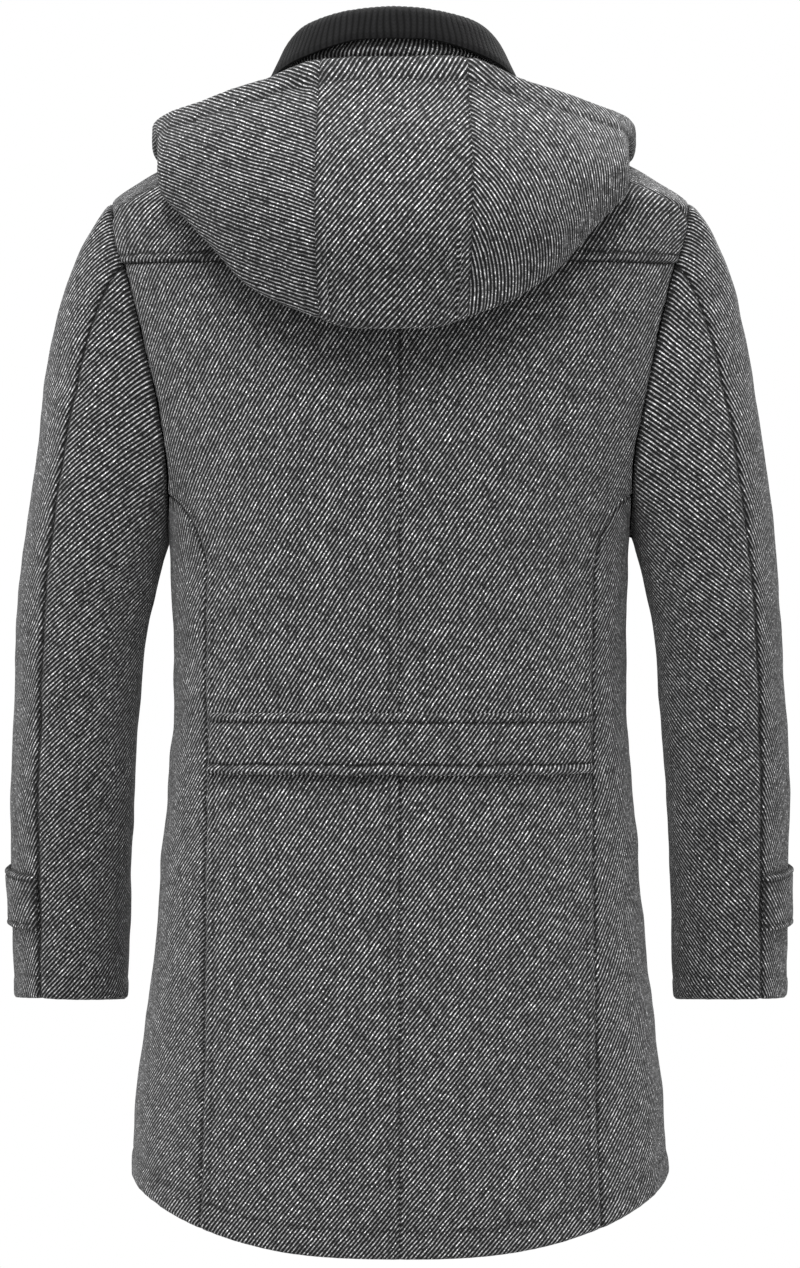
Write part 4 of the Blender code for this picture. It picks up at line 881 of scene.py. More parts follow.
def add_shell(node, slot, outer, inner, cloth, painted_shade):
    """A closed shell of an outer grid and an inner grid of the same shape, of which few lines are used.

    It stands for the node. cloth is each outer point's place on the flat cloth, and the last argument is the
    shade painted into its colour at each outer point, from 0 to 1.
    """
    name = node + "_cloth"
    rows, columns = outer.shape[:2]
    faces, few_rows, few_columns = shell_faces(rows, columns)
    few = np.ix_(few_rows, few_columns)
    points = np.concatenate([outer.reshape(-1, 3), inner[few].reshape(-1, 3)])
    flat = np.concatenate([cloth.reshape(-1, 2), cloth[few].reshape(-1, 2)])
    shade = np.concatenate([painted_shade.ravel(), painted_shade[few].ravel()])
    middle = outer[rows // 2, columns // 2]
    across = outer[rows // 2, columns // 2 + 1] - middle
    along = outer[rows // 2 + 1, columns // 2] - middle
    if np.dot(np.cross(along, across), middle - inner[rows // 2, columns // 2]) < 0:
        faces = [face[::-1] for face in faces]
    mesh = bpy.data.meshes.new(name)
    mesh.from_pydata(points.tolist(), [], faces)
    corner_points = np.empty(len(mesh.loops), np.int32)
    mesh.loops.foreach_get("vertex_index", corner_points)
    mesh.uv_layers.new(name="cloth").data.foreach_set("uv", flat[corner_points].astype(np.float32).ravel())
    # The painted shade is stored on the mesh for the materials to darken their colour by.
    mesh.attributes.new("painted_shade", "FLOAT", "POINT").data.foreach_set("value", shade.astype(np.float32))
    mesh.materials.append(material(slot))
    mesh.shade_smooth()
    mesh.set_sharp_from_angle(angle=math.radians(SHARP_SHELL))
    piece = add_object(name, mesh)
    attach(piece, "root")
    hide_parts(node)


# ---------------------------------------------------------------- places on the flat cloth
# Lengths on the body form: round it from one angle, and up it from one level.
FORM_ANGLES = np.linspace(-110, 110, 441)
FORM_LEVELS = np.linspace(-0.90, 0.0, 361)
LAST_CELL = 1.001  # lines from the table's end
STRAIGHT_LEVEL = -0.45  # the wales keep their slant above it, and lie flatter toward the hem
SKIRT_REACH = 0.40
SKIRT_CLOSER = 0.30  # how much closer the wales lie, up and down, at the hem
HOOD_LEAST_RISE = 0.45  # of the length up the cloth, where it turns level
HOOD_SEEN_TO = 0.12  # beyond it, and inside the hood, the cloth is as wide as along its reference row
HOOD_EDGE_CLOSER = 0.30  # how much less the wales rise toward the hood's edge
ARC_RADIUS = 0.13

# The way of the wales on each piece, seen from outside: degrees up from level, or the middle that they run
# round, to the right of the piece's first seam and up. Then how much wider apart they lie there.
WALES = {
    "yoke": (52, 1.0),
    "back_left": (57, 1.0),
    "back_right": (56, 1.0),
    "side_left": (57, 1.0),
    "side_right": (56, 1.0),
    "front_left": (57, 1.0),
    "front_right": (57, 1.0),
    "upper_sleeve_left": (62, 1.0),
    "upper_sleeve_right": (118, 1.0),
    "under_sleeve_left": (40, 1.07),
    "under_sleeve_right": (140, 1.07),
    "collar_stand": (56, 1.0),
    "hood_left": (160, 1.0),
    "hood_centre": (50, 1.10),
    "hood_right": ((-0.110, -0.150), 1.0),
    "cuff_tab_left": (57, 1.0),
    "cuff_tab_right": (123, 1.0),
}
BELT_WALES = 55


def form_lengths(start):
    points = body_point(*np.meshgrid(FORM_ANGLES, FORM_LEVELS))
    around, up = travelled_across(points), travelled(points)
    around -= around[:, [np.argmin(np.abs(FORM_ANGLES - start))]]
    up -= up[np.argmin(np.abs(FORM_LEVELS - STRAIGHT_LEVEL))]
    return around, up


def on_form(table, angles, levels):
    """Values of a table over the form's angles and levels, at places between them."""
    a = (angles - FORM_ANGLES[0]) / (FORM_ANGLES[1] - FORM_ANGLES[0])
    b = (levels - FORM_LEVELS[0]) / (FORM_LEVELS[1] - FORM_LEVELS[0])
    a, b = (np.clip(x, 0, n - LAST_CELL) for x, n in ((a, len(FORM_ANGLES)), (b, len(FORM_LEVELS))))
    i, j = b.astype(int), a.astype(int)
    p, q = b - i, a - j
    low = (1 - q) * table[i, j] + q * table[i, j + 1]
    high = (1 - q) * table[i + 1, j] + q * table[i + 1, j + 1]
    return (1 - p) * low + p * high


def body_flat(places, start):
    """Places on the flat cloth for places on the body form: to the right of an angle and up, from outside."""
    angles, levels = places[..., 0], places[..., 1]
    right, up = (on_form(lengths, angles, levels) for lengths in form_lengths(start))
    below = np.clip((STRAIGHT_LEVEL - levels) / SKIRT_REACH, 0, None)
    return right, up - SKIRT_CLOSER * SKIRT_REACH * below**2 / 2


def grid_flat(points, turn=1, widths_from=None):
    """The same for a grid whose rows run down: lengths along its lines.

    turn is 1 where the columns run to the right. widths_from is the row that gives the widths, or None
    where each row gives its own.
    """
    across, down = sides_of(points)["first_column"]
    if widths_from is not None:
        across = np.broadcast_to(across[widths_from], down.shape)
    return turn * across, down[-1] - down


def cap_flat(points, ring):
    """The same for an upper sleeve: lengths up from the cuff, alike all across above the ring's row."""
    across, down = sides_of(points)["first_column"]
    up = down[-1] - down
    up[:ring] = up[ring] + (down[ring] - down[:ring]).mean(axis=1, keepdims=True)
    top = np.argmax(points[0, :, 2])
    right = np.repeat(across[[ring]], len(points), axis=0)
    right[:ring] = across[:ring] - across[:ring, [top]] + across[ring, top]
    return right, up


def sleeve_flat(points):
    """The same for an under sleeve: round the tube as at its top, and straight up."""
    ring = sleeve_tube_point(np.linspace(30, 330, 301), SLEEVE_RING)

    def turn_of(places, level):
        x, y = (places[..., k] - read(SLEEVE, name, level) for k, name in enumerate(("centre_x", "centre_y")))
        return np.degrees(np.arctan2(y, x)) % 360

    here = turn_of(points, np.clip(points[..., 2], CUFF_LEVEL, SLEEVE_RING))
    return np.interp(here, turn_of(ring, SLEEVE_RING), travelled(ring)), points[..., 2]


def in_the_middle(points):
    """1 in the middle of the hood and 0 on its sides."""
    return soft_step((HOOD_RISE_REACH - np.abs(points[..., 0])) / (0.5 * HOOD_RISE_REACH))


def near_edge(points):
    """1 at the hood's edge and 0 away from it."""
    return soft_step(1 - sides_of(points)["last_row"][0] / HOOD_EDGE_REACH)


def hood_flat(points, normals, turn, middle=0):
    """The same for the hood: its outside hangs as seen from behind, from the row that faces straight back."""
    step = np.diff(points, axis=0)
    row = np.argmax(normals[:, middle, 1])
    width = np.diff(travelled_across(points), axis=1, prepend=0)
    hidden = soft_step((np.abs(points[row, :, 0]) - HOOD_SEEN_TO) / HOOD_TIP_REACH)[None]
    hidden = np.where(np.arange(len(points))[:, None] < row, 1, hidden)
    across = np.cumsum((1 - hidden) * width + hidden * width[row], axis=1)
    length = np.linalg.norm(step, axis=-1)
    rise = np.maximum(np.abs(step[..., 2]), HOOD_LEAST_RISE * length)
    rise[:row] = length[:row]
    rise *= 1 - HOOD_EDGE_CLOSER * (near_edge(points) * in_the_middle(points))[1:]
    up = np.concatenate([np.zeros((1, points.shape[1])), np.cumsum(rise, axis=0)])
    return turn * (across - across[:, [middle]]), points[row, :, 2] + up - up[row]


def along_wales(name, flat):
    """Each point's length along the wales and across them."""
    u, v = flat
    way, spread = WALES[name]
    if isinstance(way, tuple):
        right, up = u - way[0], v - way[1]
        along, across = np.arctan2(up, right) * ARC_RADIUS, np.hypot(right, up)
    else:
        lean = math.radians(way)
        along, across = u * math.cos(lean) + v * math.sin(lean), v * math.cos(lean) - u * math.sin(lean)
    return np.stack([along, across], axis=-1) / spread


# ---------------------------------------------------------------- pieces of tweed
def finished(top, bottom, first, last, corner=1):
    """(side, finish, from share, to share) for each side. Past a corner the last one is a stitched seam."""
    sides = [("first_row", top, 0, 1), ("last_row", bottom, 0, 1), ("first_column", first, 0, 1)]
    sides.append(("last_column", last, 0, corner))
    return sides if corner == 1 else sides + [("last_column", "stitched_seam", corner, 1)]


def add_cloth(name, kind, points, normals, sides, flat, extra=0.0):
    """A piece of tweed on its fine grid, which stands for the node of that name.

    sides is a list as finished() gives it. flat holds each point's place on the flat cloth. extra raises
    the outer face alone.
    """
    shared = unevenness(points) + creases(points, normals, kind)
    relief = shared + extra
    # Painted shade of the seams and topstitching, from 0 to 1, which darkens the colour.
    painted_shade = np.zeros(points.shape[:2])
    distances = sides_of(points)
    thick = np.full(points.shape[:2], WALL)
    seed = sum(name.encode())
    for side, finish, start, stop in sides:
        distance, along = distances[side]
        rise, shade = side_relief(finish, distance, along, seed)
        share = along / along.max()
        weight = soft_step((share - start) / SIDE_FADE + 1) * soft_step((stop - share) / SIDE_FADE + 1)
        relief = relief + rise * weight
        painted_shade = np.maximum(painted_shade, shade * weight)
        if finish in ("hem", "cuff"):
            thick += HEM_EXTRA * soft_step((finish_of(finish)["stitch"] - distance) / HEM_FADE) * weight
    outer = points + normals * relief[..., None]
    inner = points + normals * (shared - thick)[..., None]
    add_shell(name, "tweed", outer, inner, along_wales(name, flat) + seed * WALE_SHIFT, painted_shade)


def both_sides(name, kind, points, normals, sides, flat, right_sides=None):
    """The wearer's left piece and the right one, whose own creases and unevenness make it differ."""
    add_cloth(name + "_left", kind, points, normals, sides, flat)
    points, normals = mirrored(points), mirrored(normals)
    add_cloth(name + "_right", kind, points, normals, right_sides or sides, (-flat[0], flat[1]))


# ---------------------------------------------------------------- body
BACK, FRONT = 90.0, -90.0  # angles of the middle of the back and of the front
SINK_FROM_X = 0.030  # where the right front lies at its full depth under the left one
STRIP_GRADING = 1.5  # how much finer the lines are at a front's edge


def yoke_line():
    end = armhole_place(AT_YOKE_SEAM)
    share = np.linspace(0, 1, FINE)
    return places_at(between(BACK, end[0], share), between(YOKE_LEVEL, end[1], share**3))


def make_yoke():
    shoulder = shoulder_line(FINE)[::-1]
    neck = places_at(np.linspace(SHOULDER_SEAM_ANGLE, BACK, FINE), NECK_LEVEL)
    out = graded(line_length(shoulder), last=False)
    middle = np.linspace(0, 1, int(line_length(neck) / STEP))[1:]
    half_top = np.concatenate([on_line(shoulder, out), on_line(neck, middle)])
    low_share = np.concatenate([out * 0.5, 0.5 + middle * 0.5])
    half_bottom = on_line(yoke_line()[::-1], low_share)
    side_line = armhole_line(AT_SHOULDER_SEAM, AT_YOKE_SEAM)
    v = graded(line_length(side_line))
    centre = places_at(BACK, between(NECK_LEVEL, YOKE_LEVEL, v))
    half = form_at(even_places((half_top, half_bottom, on_line(side_line, v), centre), low_share, v))
    points, normals = (np.concatenate([grid, mirrored(grid[:, -2::-1])], axis=1) for grid in half)
    sides = finished("faint_seam", "yoke_edge", "armhole_top", "armhole_top")
    add_cloth("yoke", "body", points, normals, sides, grid_flat(points, widths_from=-1))


def make_backs():
    outside, v, corner, _ = down_the_side(AT_YOKE_SEAM, AT_SIDE_BACK_SEAM, SIDE_BACK_SEAM, False)
    u = graded(line_length(yoke_line()))
    centre = places_at(BACK, spread(outside[:, 1], YOKE_LEVEL, hem_level(BACK)))
    low_angle = between(BACK, outside[-1, 0], u)
    bottom = places_at(low_angle, hem_level(low_angle))
    places = coons(on_line(yoke_line(), u), bottom, centre, outside, u, v)
    left = finished("faint_seam", "hem", "stitched_seam", "armhole", corner)
    right = finished("faint_seam", "hem", "faint_seam", "armhole", corner)
    both_sides("back", "body", *form_at(places), left, body_flat(places, BACK), right)


def make_sides():
    borders = []
    for at, table, front in (
        (AT_SIDE_BACK_SEAM, SIDE_BACK_SEAM, False),
        (AT_SIDE_FRONT_SEAM, SIDE_FRONT_SEAM, True),
    ):
        start = armhole_place([at])
        borders.append(np.concatenate([start, seam_line(table, start[0, 1] - BELOW_ARMHOLE, front)]))
    top_line = armhole_line(AT_SIDE_BACK_SEAM, AT_SIDE_FRONT_SEAM)
    v, u = graded(line_length(borders[0])), graded(line_length(top_line))
    behind, before = (on_line(line, v) for line in borders)
    low_angle = between(behind[-1, 0], before[-1, 0], u)
    low_level = np.where(low_angle > 0, hem_level(low_angle), hem_level(low_angle, True))
    places = coons(on_line(top_line, u), places_at(low_angle, low_level), behind, before, u, v)
    sides = finished("armhole", "hem", "seam", "seam")
    both_sides("side", "body", *form_at(places), sides, body_flat(places, 0))


def front_places(edge_x):
    """Places of a front, laid out as the wearer's left one, from its edge to the side, and its corner."""
    start, end = 360 + AT_SHOULDER_SEAM, AT_SIDE_FRONT_SEAM
    outside, v, corner, length = down_the_side(start, end, SIDE_FRONT_SEAM, True)
    neck_start = float(angle_at_x(FRONT_INNER_LINE, NECK_LEVEL, True))
    neck = places_at(np.linspace(neck_start, SHOULDER_SEAM_ANGLE, FINE), NECK_LEVEL)
    top_line = np.concatenate([neck, shoulder_line(FINE)[1:]])
    top_corner = line_length(neck) / line_length(top_line)
    u = with_corner(graded(line_length(top_line), first=False), top_corner)
    falling = outside[0, 1] - FRONT_FALL * v * length
    levels = spread(np.minimum(outside[:, 1], falling), NECK_LEVEL, hem_level(FRONT, True))
    inner_line = line_at_x(FRONT_INNER_LINE, levels, True)
    low_angle = between(inner_line[-1, 0], outside[-1, 0], u)
    inner_line[-1, 1] = hem_level(inner_line[-1, 0], True)
    bottom = places_at(low_angle, hem_level(low_angle, True))
    wide = even_places((on_line(top_line, u), bottom, inner_line, outside), u, v)
    width = FRONT_INNER_LINE - edge_x
    strip_x = edge_x + width * graded(width * STRIP_GRADING, last=False)[:-1]
    strips = np.stack([line_at_x(x, levels, True) for x in strip_x], axis=1)
    strips[-1, :, 1] = hem_level(strips[-1, :, 0], True)
    return np.concatenate([strips, wide], axis=1), corner


def make_fronts():
    for name, edge_x in (("front_left", LEFT_FRONT_EDGE), ("front_right", RIGHT_FRONT_EDGE)):
        places, corner = front_places(edge_x)
        points, normals = form_at(places)
        flat = body_flat(places, FRONT)
        if name == "front_right":
            rise = soft_step((FRONT_INNER_LINE - points[..., 0]) / (FRONT_INNER_LINE - SINK_FROM_X))
            points = mirrored(points - normals * (FRONT_SINK * rise)[..., None])
            normals, flat = mirrored(normals), (-flat[0], flat[1])
        sides = finished("faint_seam", "hem", "edge", "armhole", corner)
        add_cloth(name, "body", points, normals, sides, flat)


# ---------------------------------------------------------------- sleeves
CAP_LENGTH = 0.20  # from the armhole to the ring, at most
SLEEVE_WIDTH = 0.19  # of each sleeve piece, for its grid
SEAM_STEP = 3.0  # degrees to each side of a sleeve seam, to find its shared normal
ARMHOLE_REACH = 0.003  # within which a sleeve's normals turn to those of the armhole


def sleeve_grid(around_start, shares, levels):
    """Rows from the armhole to the cuff, columns at the given places of the armhole."""
    seam_at_armhole = np.array([AT_YOKE_SEAM, AT_SLEEVE_FRONT_SEAM, 360 + AT_YOKE_SEAM])

    def turned(level):
        seam = float(read(SLEEVE_BACK_SEAM, "angle", level))
        return np.interp(around_start, seam_at_armhole, [seam, AT_SLEEVE_FRONT_SEAM, 360 + seam])

    at_ring = turned(SLEEVE_RING)
    rows = [sleeve_cap_point(around_start, at_ring, np.full(len(around_start), share)) for share in shares]
    rows += [sleeve_tube_point(turned(level), level) for level in levels]
    return np.array(rows)


def make_sleeves():
    shares = graded(CAP_LENGTH, last=False)
    levels = SLEEVE_RING + (CUFF_LEVEL - SLEEVE_RING) * graded(SLEEVE_RING - CUFF_LEVEL, first=False)[1:]
    for name, start, stop, top in (
        ("upper_sleeve", AT_SLEEVE_FRONT_SEAM, 360 + AT_YOKE_SEAM, "armhole_top"),
        ("under_sleeve", AT_YOKE_SEAM, AT_SLEEVE_FRONT_SEAM, "armhole"),
    ):
        around = between(start, stop, graded(SLEEVE_WIDTH))
        points = sleeve_grid(around, shares, levels)
        normals = facing_out(points, grid_normals(points))
        for column in (0, -1):
            beside = around[column] + np.array([-SEAM_STEP, 0, SEAM_STEP])
            shared = grid_normals(sleeve_grid(beside, shares, levels))[:, 1]
            normals[:, column] = shared * np.sign((shared * normals[:, column]).sum(-1, keepdims=True))
        through = armhole_through(np.mod(around, 360))
        weight = hill(travelled(points), ARMHOLE_REACH)[..., None]
        normals = unit(normals * (1 - weight) + through[None] * weight)
        flat = cap_flat(points, len(shares) - 1) if name == "upper_sleeve" else sleeve_flat(points)
        both_sides(name, "sleeve", points, normals, finished(top, "cuff", "sleeve_seam", "sleeve_seam"), flat)


# ---------------------------------------------------------------- collar
STAND_HEIGHT = 0.06  # for its grid
STAND_ROLL = 0.0075  # the stand's cloth bulges between the collar's edge and the hood's
STAND_ROLL_LEVEL = 0.0465
STAND_ROLL_WIDTH = 0.0068
RIB_COLUMNS = 8
KNIT_RIB = 0.00045  # how proud a rib stands
KNIT_RIB_ROUND = 0.6  # power of its section
# Painted shade between the ribs, where the grooves lie in shadow:
KNIT_RIB_PAINTED_SHADE = 0.50  # half-width of the dark between ribs, in shares of a rib's height
KNIT_STITCH = 0.0031  # height of a stitch
KNIT_ROWS = 56
KNIT_RIM = 0.0035  # width of the thinner edge
KNIT_RIM_THIN = 0.35  # share of the thickness at the edge
KNIT_WANDER = 0.10  # how far a rib strays, in ribs
KNIT_WANDER_LENGTH = 0.037
KNIT_WANDER_TURN = 0.21  # how much the straying goes on for each degree round the neck


def neckline():
    """Angles round the neckline between the collar's ends, and the length travelled to each."""
    start = float(angle_at_x(COLLAR_END_X, NECK_LEVEL, True))
    angles = np.linspace(start, 180 - start, 4 * FINE)
    return angles, travelled(body_point(angles, NECK_LEVEL))


def make_collar_stand():
    angles, travel = neckline()
    angle = np.interp(np.linspace(0, travel[-1], int(round(travel[-1] / STEP)) + 1), travel, angles)
    out, top = stand_top(angle)
    base = body_point(angle, NECK_LEVEL)[:, 2]
    shares = 1 - graded(STAND_HEIGHT)
    points = np.array([collar_place(angle, out * s, between(base, top, s)) for s in shares])
    normals = np.repeat(neck_outward(angle)[None], len(points), axis=0)
    roll = STAND_ROLL * hill(points[..., 2] - STAND_ROLL_LEVEL, STAND_ROLL_WIDTH)
    sides = [("first_row", "faint_seam", 0, 1), ("last_row", "stitched_seam", 0, 1)]
    add_cloth("collar_stand", "collar", leaned(points), normals, sides, grid_flat(points), extra=roll)


def make_knit_collar():
    """The ribs are real ridges, over a plain inside."""
    angles, travel = neckline()
    ribs = int(round(travel[-1] / RIB_PITCH))
    at = np.linspace(0, 1, RIB_COLUMNS * ribs + 1)
    angle = np.interp(at * travel[-1], travel, angles)
    middle = smooth_through(collar_path(angle), KNIT_ROWS)
    normals = grid_normals(middle)
    if (normals[-1] * neck_outward(angle)).sum() < 0:
        normals = -normals
    down = travelled(middle)
    wander = KNIT_WANDER * np.sin(down * 2 * math.pi / KNIT_WANDER_LENGTH + angle[None] * KNIT_WANDER_TURN)
    rib = np.abs(np.sin(math.pi * (at[None] * ribs + wander)))
    rim = soft_step(np.minimum(down, down[-1:] - down) / KNIT_RIM)
    height = (KNIT_WALL / 2 + KNIT_RIB * rib**KNIT_RIB_ROUND) * (KNIT_RIM_THIN + (1 - KNIT_RIM_THIN) * rim)
    outer = leaned(middle + normals * (height + 0.5 * unevenness(middle))[..., None])
    inner = leaned(middle - normals * (KNIT_WALL / 2))
    cloth = np.stack([np.broadcast_to(at[None] * ribs, down.shape) + wander, down / KNIT_STITCH], axis=-1)
    # The grooves between the ribs get painted shade.
    add_shell("knit_collar", "rib_knit", outer, inner, cloth, hill(rib, KNIT_RIB_PAINTED_SHADE))


# ---------------------------------------------------------------- hood
HOOD_LINES = 120
HOOD_SIDE_WIDTH = 0.30
HOOD_CENTRE_WIDTH = 0.11
HOOD_FULLER = 0.003
HOOD_TURNED_IN = 0.80  # of how far the outside stands back from the lowest line of the belly
HOOD_TURN = 0.085
HOOD_EDGE_RISE = 0.0038
HOOD_EDGE_REACH = 0.040
HOOD_RISE_REACH = 0.10  # to each side
HOOD_TIP_FROM = 0.045  # where the sides begin to lean out, and by how much for each metre up
HOOD_TIP_REACH = 0.090
HOOD_TIP_LEAN = 0.08


def hung(points, normals):
    """The hood's outside is a little fuller, turns in toward its belly, and stands up at its edge."""
    lowest = np.argmin(points[..., 2], axis=0)
    low = points[lowest, np.arange(points.shape[1])]
    level = points[..., 2] - low[:, 2]
    outside = np.clip(2 * normals[..., 1], 0, 1)
    turned = HOOD_TURNED_IN * soft_step(1 - level / HOOD_TURN) * np.maximum(points[..., 1] - low[:, 1], 0)
    at_tip = soft_step((np.abs(points[..., 0]) - HOOD_TIP_FROM) / HOOD_TIP_REACH)
    moved = points.copy()
    moved[..., 1] += HOOD_FULLER * outside - turned + HOOD_TIP_LEAN * at_tip * level * soft_step(2 * outside)
    moved[..., 2] += HOOD_EDGE_RISE * near_edge(points) * in_the_middle(points)
    turned_normals = grid_normals(moved)
    return moved, turned_normals * np.sign((turned_normals * normals).sum(axis=-1, keepdims=True))


def hood_panel(stations):
    """The outside of the hood's cloth at stations, and its normals."""
    middle, normals = hood_path(stations, HOOD_LINES), hood_normals(stations, HOOD_LINES)
    if normals[-2, 0, 1] < 0:
        normals = -normals
    return middle + normals * (WALL / 2), normals


def add_hood_panel(name, points, normals, sides, turn, middle=0):
    points, normals = hung(leaned(points), normals)
    add_cloth(name, "hood", points, normals, sides, hood_flat(points, normals, turn, middle))


def make_hood():
    points, normals = hood_panel(between(HOOD_SEAM_STATION, HOOD_END_STATION, graded(HOOD_SIDE_WIDTH)))
    sides = finished("faint_seam", "hood_edge", "hood_seam", "edge")
    add_hood_panel("hood_left", points, normals, sides, -1)
    add_hood_panel("hood_right", mirrored(points), mirrored(normals), sides, 1)
    half = hood_panel(HOOD_SEAM_STATION * graded(HOOD_CENTRE_WIDTH / 2, first=False))
    points, normals = (np.concatenate([mirrored(grid[:, :0:-1]), grid], axis=1) for grid in half)
    sides = finished("faint_seam", "hood_edge", "hood_seam", "hood_seam")
    add_hood_panel("hood_centre", points, normals, sides, -1, points.shape[1] // 2)


# ---------------------------------------------------------------- half-belt and cuff tabs
# Section of the half-belt from its top edge down: a rolled top edge, topstitching, the flat of the belt,
# topstitching again and a fuller roll that stands off at the bottom.
BELT_SECTION = {
    "columns": ("down", "out"),
    "rows": (
        (0.0000, 0.0010),
        (0.0012, 0.0026),
        (0.0034, 0.0034),
        (0.0056, 0.0026),
        (0.0070, 0.0017),
        (0.0086, 0.0026),
        (0.0160, 0.0031),
        (0.0300, 0.0031),
        (0.0360, 0.0028),
        (0.0378, 0.0019),
        (0.0396, 0.0034),
        (0.0425, 0.0049),
        (0.0442, 0.0040),
        (0.0450, 0.0022),
    ),
}
BELT_ROWS = 60
BELT_STITCHES = (0.0070, 0.0378)  # how far down they run
BELT_STITCH_DEPTH = 0.0005
BELT_STITCH_WIDTH = 0.0011
# Painted shade on the belt's topstitching.
BELT_STITCH_PAINTED_SHADE = 0.42
BELT_END_THIN = 0.25  # share of the thickness at the belt's ends
BELT_END_REACH = 0.004
# Painted shade at the belt's ends, where they lie in shadow, and its half-width.
BELT_END_PAINTED_SHADE = 0.6
BELT_END_PAINTED_SHADE_WIDTH = 0.0015
BELT_SAG = 0.0010
TAB_LENGTH = 0.095  # for its grid
TAB_POINT_FROM = 0.88  # share of the tab's length where its point starts


def make_half_belt():
    height = BELT_TOP_LEVEL - BELT_BOTTOM_LEVEL
    low = float(angle_at_x(BELT_HALF_LENGTH, (BELT_TOP_LEVEL + BELT_BOTTOM_LEVEL) / 2))
    line = places_at(np.linspace(low, 180 - low, FINE), BELT_TOP_LEVEL)
    angle = on_line(line, graded(line_length(line)))[:, 0]
    down = np.linspace(0, height, BELT_ROWS + 1)
    angles, levels = np.meshgrid(angle, BELT_TOP_LEVEL - down)
    points, normals = body_point(angles, levels), body_normal(angles, levels)
    across = travelled_across(points)
    from_end = np.minimum(across, across[:, -1:] - across)
    section = read(BELT_SECTION, "out", down)[:, None]
    stitches = 0.5 + 0.5 * np.cos(2 * math.pi * across / STITCH_LENGTH)
    # Painted shade on the topstitching lines and at the belt's ends, where shadow falls.
    painted_shade = np.zeros(points.shape[:2])
    for at in BELT_STITCHES:
        line_here = hill(down - at, BELT_STITCH_WIDTH)[:, None]
        section = section - BELT_STITCH_DEPTH * line_here * stitches
        painted_shade = np.maximum(painted_shade, BELT_STITCH_PAINTED_SHADE * line_here * (0.5 + 0.5 * stitches))
    section = section * between(BELT_END_THIN, 1, soft_step(from_end / BELT_END_REACH))
    section = section * (1 + 0.10 * ripple(across, 5))
    painted_shade = np.maximum(painted_shade, BELT_END_PAINTED_SHADE * hill(from_end, BELT_END_PAINTED_SHADE_WIDTH))
    sag = BELT_SAG * ripple(across * 0.25, 8) * soft_step(down / height)[:, None]
    sag = sag[..., None] * np.array([0, 0, 1])
    outer = points + normals * (BELT_LIFT + section)[..., None] + sag
    inner = points + normals * BELT_LIFT + sag
    lean = math.radians(BELT_WALES)
    fall = down[:, None]
    along = across * math.cos(lean) - fall * math.sin(lean)
    cloth = np.stack([along, -fall * math.cos(lean) - across * math.sin(lean)], axis=-1)
    add_shell("half_belt", "tweed", outer, inner, cloth, painted_shade)


def make_cuff_tabs():
    seam = float(read(SLEEVE_BACK_SEAM, "angle", TAB_TOP_LEVEL))
    u = graded(TAB_LENGTH)
    around = between(seam - TAB_SHORT_OF_SEAM, TAB_END_ANGLE, u)
    point = TAB_POINT * np.clip((u - TAB_POINT_FROM) / (1 - TAB_POINT_FROM), 0, 1)
    shares = graded(TAB_TOP_LEVEL - TAB_BOTTOM_LEVEL)
    levels = between(TAB_TOP_LEVEL, TAB_BOTTOM_LEVEL, shares)[:, None]
    levels = levels - point[None] * (1 - 2 * shares)[:, None]
    points = sleeve_tube_point(np.broadcast_to(around, levels.shape), levels)
    normals = facing_out(points, grid_normals(points))
    sides = finished("tab_edge", "tab_edge", "seam", "tab_edge")
    both_sides("cuff_tab", "tab", points + normals * (TAB_LIFT + WALL), normals, sides, grid_flat(points, -1))


# ---------------------------------------------------------------- buttons
HOLE_RADIUS = 0.0011
HOLE_SPREAD = 0.0024  # from a front button's middle
HOLE_DEPTH = 0.012
HOLE_MIDDLE = 0.0015
BUTTON_TURNS = 48
BUTTON_PROFILE = (  # out and up, in shares of the radius and of the thickness
    (0.72, 0.00),
    (0.86, 0.10),
    (0.97, 0.32),
    (1.00, 0.52),
    (0.985, 0.72),
    (0.94, 0.90),
    (0.87, 0.99),
    (0.80, 0.98),
    (0.73, 0.90),
    (0.66, 0.76),
    (0.58, 0.66),
    (0.48, 0.62),
)
THREAD_RADIUS = 0.00026
THREAD_PITCH = 0.00045  # between the strands of a bar
THREAD_TURNS = 6
THREAD_STEPS = 9
THREAD_LEVEL = 0.70  # shares of the button's thickness: on its face, and down in its holes
THREAD_IN_HOLE = 0.2
THREAD_ARCH = 0.0004
THREAD_CROSSING = 0.00025  # how much higher the second bar lies


def add_tube(made, rings):
    """A closed tube through rings of places."""
    rings = [[made.verts.new(place) for place in ring] for ring in rings]
    for low, high in zip(rings, rings[1:]):
        for k in range(len(low)):
            after = (k + 1) % len(low)
            made.faces.new((low[k], low[after], high[after], high[k]))
    made.faces.new(rings[0][::-1])
    made.faces.new(rings[-1])


def mesh_of(made, name):
    mesh = bpy.data.meshes.new(name)
    made.to_mesh(mesh)
    made.free()
    return mesh


def turns(count, start=0.0):
    """Even turns round a circle, in radians."""
    return [start + 2 * math.pi * k / count for k in range(count)]


